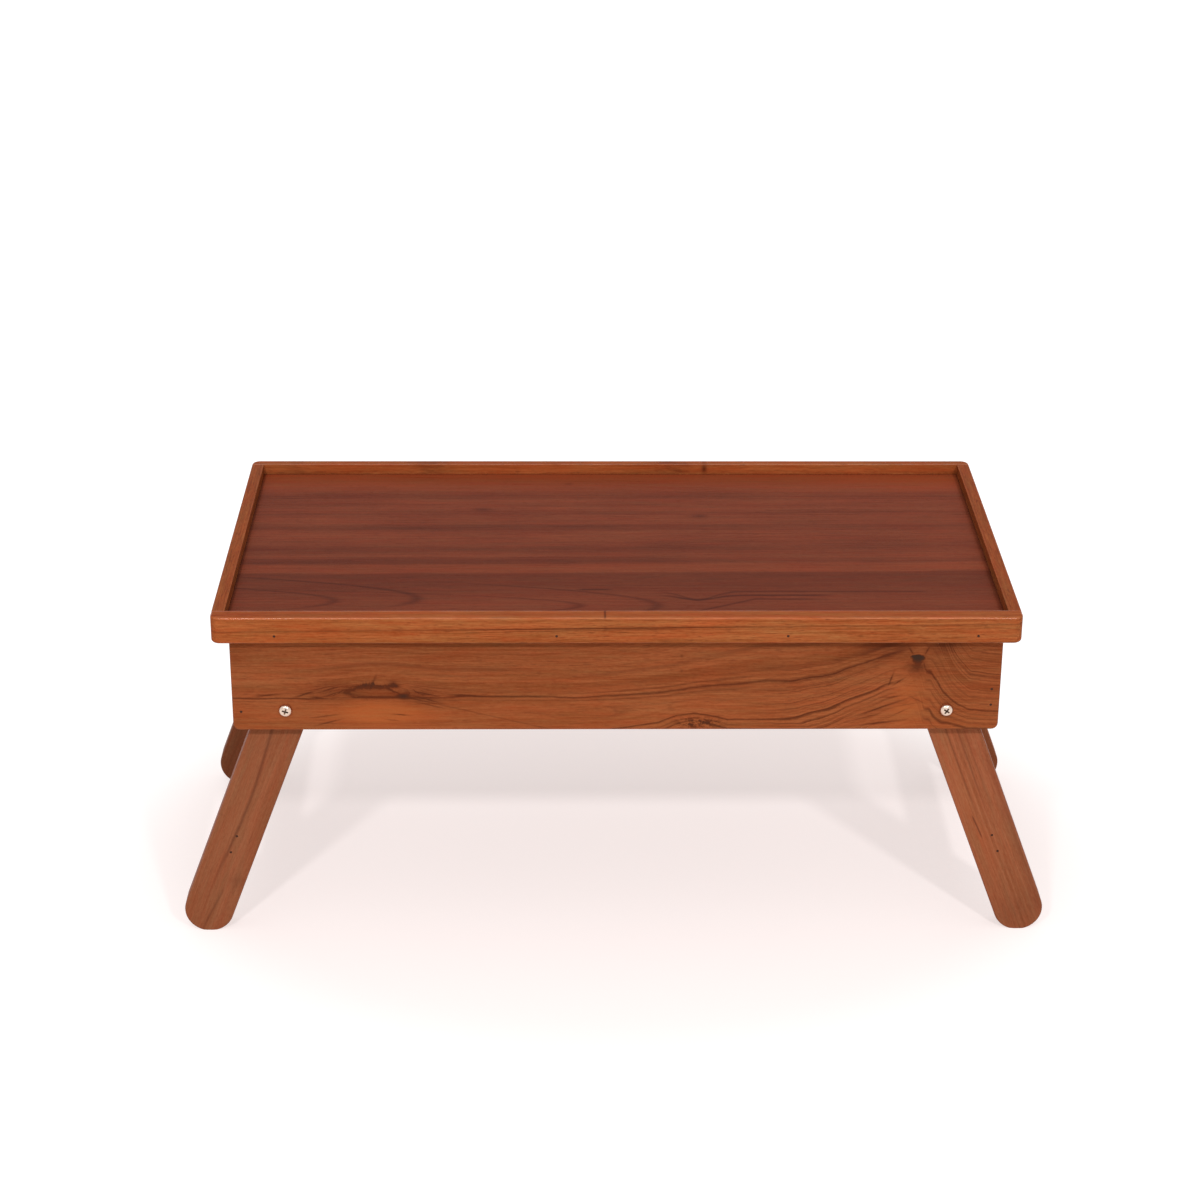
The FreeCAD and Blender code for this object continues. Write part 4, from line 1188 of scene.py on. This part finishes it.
class AddPivotScrews(DeskOperator, bpy.types.Operator):
    """Seats the four pan-head screws on which the legs turn"""
    bl_idname = "lap_desk.pivot_screws"
    bl_label = "Pivot Screws"
    needs = tuple(pivot_nodes("pivot_screw"))

    def make(self, desk):
        low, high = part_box(self.needs[0])
        seat = pivot_seats()[0][0]
        radius, tall, reach = (high.x - low.x) / 2, seat.y - low.y, high.y - seat.y
        shank = radius / 2
        crown = [(radius - HEAD_ROUND * (1 - math.sin(angle)), tall - HEAD_ROUND * (1 - math.cos(angle)))
                 for angle in np.linspace(0, math.pi / 2, 9)]
        profile = [(0, tall), (radius * 0.25, tall)] + crown + [
            (radius, HEAD_FOOT), (radius - HEAD_FOOT, 0), (shank, 0), (shank, -THREAD_START)]
        # The thread is a stack of grooves, each a sloping cut and a narrow crest.
        crest = shank - 0.03 * MM
        for index in range(int((reach - THREAD_START - THREAD_PITCH) / THREAD_PITCH)):
            top = -THREAD_START - index * THREAD_PITCH
            profile += [(shank - THREAD_DEPTH, top - 0.4 * THREAD_PITCH),
                        (crest, top - 0.85 * THREAD_PITCH), (crest, top - THREAD_PITCH)]
        profile += [(shank - SCREW_CHAMFER, -reach), (0, -reach)]
        pattern = form_object("pan_head", turned_form(profile))
        recess(pattern, tall, *PIVOT_CROSS)
        finish = metal("nickel_plate", desk.metals.nickel, 0.20, 0.4)
        thing = seat_fasteners("pivot_screw_set", pivot_seats(), pattern, finish, 1.4, 3)
        bpy.data.objects.remove(pattern)
        hand_over(thing, DESK, "nickel_steel", *self.needs)


class AddLockNuts(DeskOperator, bpy.types.Operator):
    """Turns a lock nut onto each pivot screw and finishes the washers"""
    bl_idname = "lap_desk.lock_nuts"
    bl_label = "Lock Nuts and Washers"
    needs = tuple(pivot_nodes("lock_nut") + pivot_nodes("spacer") + pivot_nodes("washer"))

    def make(self, desk):
        zinc = metal("zinc_plate", desk.metals.zinc, 0.34, 0.8)
        nuts = pivot_nodes("lock_nut")
        _, half = node_box(nuts[0])
        places = [(node_box(name)[0] + way * half.y, way)
                  for name, (_, way) in zip(nuts, pivot_seats())]
        pattern = form_object("hexagon", nut_form(half.x, half.y * 2, NUT_BORE))
        smooth(pattern)
        thing = seat_fasteners("lock_nut_set", places, pattern, zinc, 1.0, 5)
        bpy.data.objects.remove(pattern)
        hand_over(thing, DESK, "zinc_steel", *nuts)
        for name in pivot_nodes("spacer") + pivot_nodes("washer"):
            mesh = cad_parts[name].data
            mesh.materials.clear()
            mesh.materials.append(zinc)


class AddNails(DeskOperator, bpy.types.Operator):
    """Fills the nail holes with dark wax"""
    bl_idname = "lap_desk.nails"
    bl_label = "Nails"
    needs = ("strip_nails", "apron_nails", "left_leg_nails", "right_leg_nails")

    def make(self, desk):
        finish = wax("nail_wax", desk.metals.filler)
        radius = NAIL_RADIUS
        dish = [(0, -0.34 * MM), (radius * 0.45, -0.30 * MM), (radius * 0.8, -0.18 * MM),
                (radius, -0.10 * MM), (radius, -1.4 * MM), (radius * 0.9, -6 * MM), (0, -6.2 * MM)]
        pattern = form_object("filled_nail", turned_form(dish, 16))
        smooth(pattern)
        desk_nails = nail_seats("strip_nails", STRIPS) + nail_seats("apron_nails", LONG_APRONS)
        thing = seat_fasteners("desk_nail_set", desk_nails, pattern, finish, ANY_TURN, 7)
        hand_over(thing, DESK, "nail_steel", "strip_nails", "apron_nails")
        for side, _ in SIDES:
            thing = seat_fasteners(side + "_leg_nail_set", leg_nail_seats(side), pattern, finish,
                                   ANY_TURN, 9)
            hand_over(thing, side + "_leg_frame", "nail_steel", side + "_leg_nails")
        bpy.data.objects.remove(pattern)


class AddBattenScrews(DeskOperator, bpy.types.Operator):
    """Drives the countersunk screws up through the battens"""
    bl_idname = "lap_desk.batten_screws"
    bl_label = "Batten Screws"
    needs = ("batten_screws",)

    def make(self, desk):
        head, neck, sunk = 3.5 * MM, 1.75 * MM, 0.05 * MM
        profile = [(0, -sunk), (head * 0.3, -sunk), (head * 0.9, -sunk), (head, -0.15 * MM),
                   (head, -0.3 * MM), (neck, -2.4 * MM), (neck, -18 * MM), (0, -21.9 * MM)]
        pattern = form_object("countersunk", turned_form(profile, 40))
        recess(pattern, -sunk, *BATTEN_CROSS)
        finish = metal("screw_zinc", desk.metals.zinc, 0.32, 0.8)
        thing = seat_fasteners("batten_screw_set", seats("batten_screws", DOWN), pattern, finish,
                               ANY_TURN, 11)
        bpy.data.objects.remove(pattern)
        hand_over(thing, DESK, "zinc_steel", "batten_screws")


class AddStage(DeskOperator, bpy.types.Operator):
    """Sets the pale floor, the lamps, the sky and the camera"""
    bl_idname = "lap_desk.stage"
    bl_label = "Stage"

    def make(self, desk):
        studio = desk.studio
        scene = bpy.context.scene
        scene.view_settings.view_transform = "Standard"
        self.floor(studio)
        self.sky(scene, studio.sky)
        for name, azimuth, elevation in LAMPS:
            self.lamp(name, math.radians(azimuth), math.radians(elevation), getattr(studio, name))
        self.camera(scene, studio.lens)

    @staticmethod
    def seen(start):
        """1 for rays from the camera, or through its reflections and glass."""
        rays = start.node("ShaderNodeLightPath").socket.node.outputs
        camera, glossy, clear = [Wire(start.tree, rays[word]) for word in (
            "Is Camera Ray", "Is Glossy Ray", "Is Transmission Ray")]
        return camera.high(glossy).high(clear)

    def floor(self, studio):
        mesh = bpy.data.meshes.new("floor")
        mesh.from_pydata([(x * FLOOR_REACH, y * FLOOR_REACH, 0)
                          for x, y in ((-1, -1), (1, -1), (1, 1), (-1, 1))], [], [(0, 1, 2, 3)])
        floor = new_object("floor", mesh)
        material, start = new_material("pale_floor")
        place = start.node("ShaderNodeTexCoord", None, None, "Object")
        far = place.vector("DIVIDE", TINTED_FLOOR).vector("LENGTH", None, "Value").step(*TINT_FADE)
        tint = far.mix(rgba(studio.floor), rgba(studio.backdrop))
        diffuse = start.node("ShaderNodeBsdfDiffuse", None, {"Color": tint})
        light = start.node("ShaderNodeEmission", None, {"Color": tint, "Strength": FLOOR_GLOW})
        factor = self.seen(start) * (far * 0.5 + 0.5)
        close_material(start, start.node("ShaderNodeMixShader", None,
                                         {0: factor, 1: diffuse, 2: light}))
        mesh.materials.append(material)

    def sky(self, scene, strength):
        world = bpy.data.worlds.new("studio")
        world.use_nodes = True
        world.node_tree.nodes.clear()
        start = Wire(world.node_tree)
        height = start.node("ShaderNodeTexCoord", None, None, "Generated").parts()[2].high(0)
        seen = self.seen(start)
        level = seen + (1 - seen) * (height * SKY_RISE + SKY_HORIZON) * strength
        light = start.node("ShaderNodeBackground", None, {"Color": (1, 1, 1, 1), "Strength": level})
        start.node("ShaderNodeOutputWorld", None, {"Surface": light})
        scene.world = world

    @staticmethod
    def lamp(name, turn, rise, power):
        data = bpy.data.lights.new(name, "AREA")
        data.shape, data.size, data.energy = "DISK", LAMP_WIDTH, power
        lamp = new_object(name, data)
        back = Vector((math.sin(turn) * math.cos(rise), -math.cos(turn) * math.cos(rise),
                       math.sin(rise)))
        lamp.location = Vector(LAMP_TARGET) + back * LAMP_DISTANCE
        lamp.rotation_euler = back.to_track_quat("Z", "Y").to_euler()

    @staticmethod
    def camera(scene, lens):
        data = bpy.data.cameras.new("camera")
        data.sensor_fit, data.sensor_width, data.lens = "HORIZONTAL", 36, lens
        data.clip_start, data.clip_end = 0.05, 60
        camera = new_object("camera", data)
        camera.matrix_world = Matrix.Translation(CAMERA_PLACE)
        for angle, axis in CAMERA_TURNS:
            camera.matrix_world @= Matrix.Rotation(math.radians(angle), 4, axis)
        scene.camera = camera


# The add-on

class DeskSettings(bpy.types.PropertyGroup):
    """All settings of the desk."""
    woods: bpy.props.PointerProperty(type=DeskWoods, name="Woods", description="Wood colours")
    metals: bpy.props.PointerProperty(type=DeskMetals, name="Metals", description="Metal colours")
    edges: bpy.props.PointerProperty(type=DeskEdges, name="Edges", description="Worked edges")
    studio: bpy.props.PointerProperty(type=DeskStudio, name="Studio", description="Stage")


OPERATORS = (AddStage, AddTrayPanel, AddRimStrips, AddApronBoards, AddBattens, AddLegs,
             AddStretchers, AddPivotScrews, AddLockNuts, AddNails, AddBattenScrews)


class LapDeskPanel(bpy.types.Panel):
    """Lists the pieces of the lap desk and their settings"""
    bl_idname = "VIEW3D_PT_lap_desk"
    bl_label = "Lap Desk"
    bl_space_type = "VIEW_3D"
    bl_region_type = "UI"
    bl_category = "Lap Desk"

    def draw(self, context):
        desk = context.scene.lap_desk
        for group in (desk.woods, desk.metals, desk.edges, desk.studio):
            box = self.layout.box()
            for name in group.__annotations__:
                box.prop(group, name)
        column = self.layout.column(align=True)
        for operator in OPERATORS:
            column.operator(operator.bl_idname)


CLASSES = (DeskWoods, DeskMetals, DeskEdges, DeskStudio, DeskSettings) + OPERATORS + (
    LapDeskPanel,)


def register():
    for made in CLASSES:
        bpy.utils.register_class(made)
    bpy.types.Scene.lap_desk = bpy.props.PointerProperty(type=DeskSettings)


def unregister():
    del bpy.types.Scene.lap_desk
    for made in reversed(CLASSES):
        bpy.utils.unregister_class(made)


def main():
    register()
    for operator in OPERATORS:
        group, name = operator.bl_idname.split(".")
        getattr(getattr(bpy.ops, group), name)()


if __name__ == "__main__":
    main()
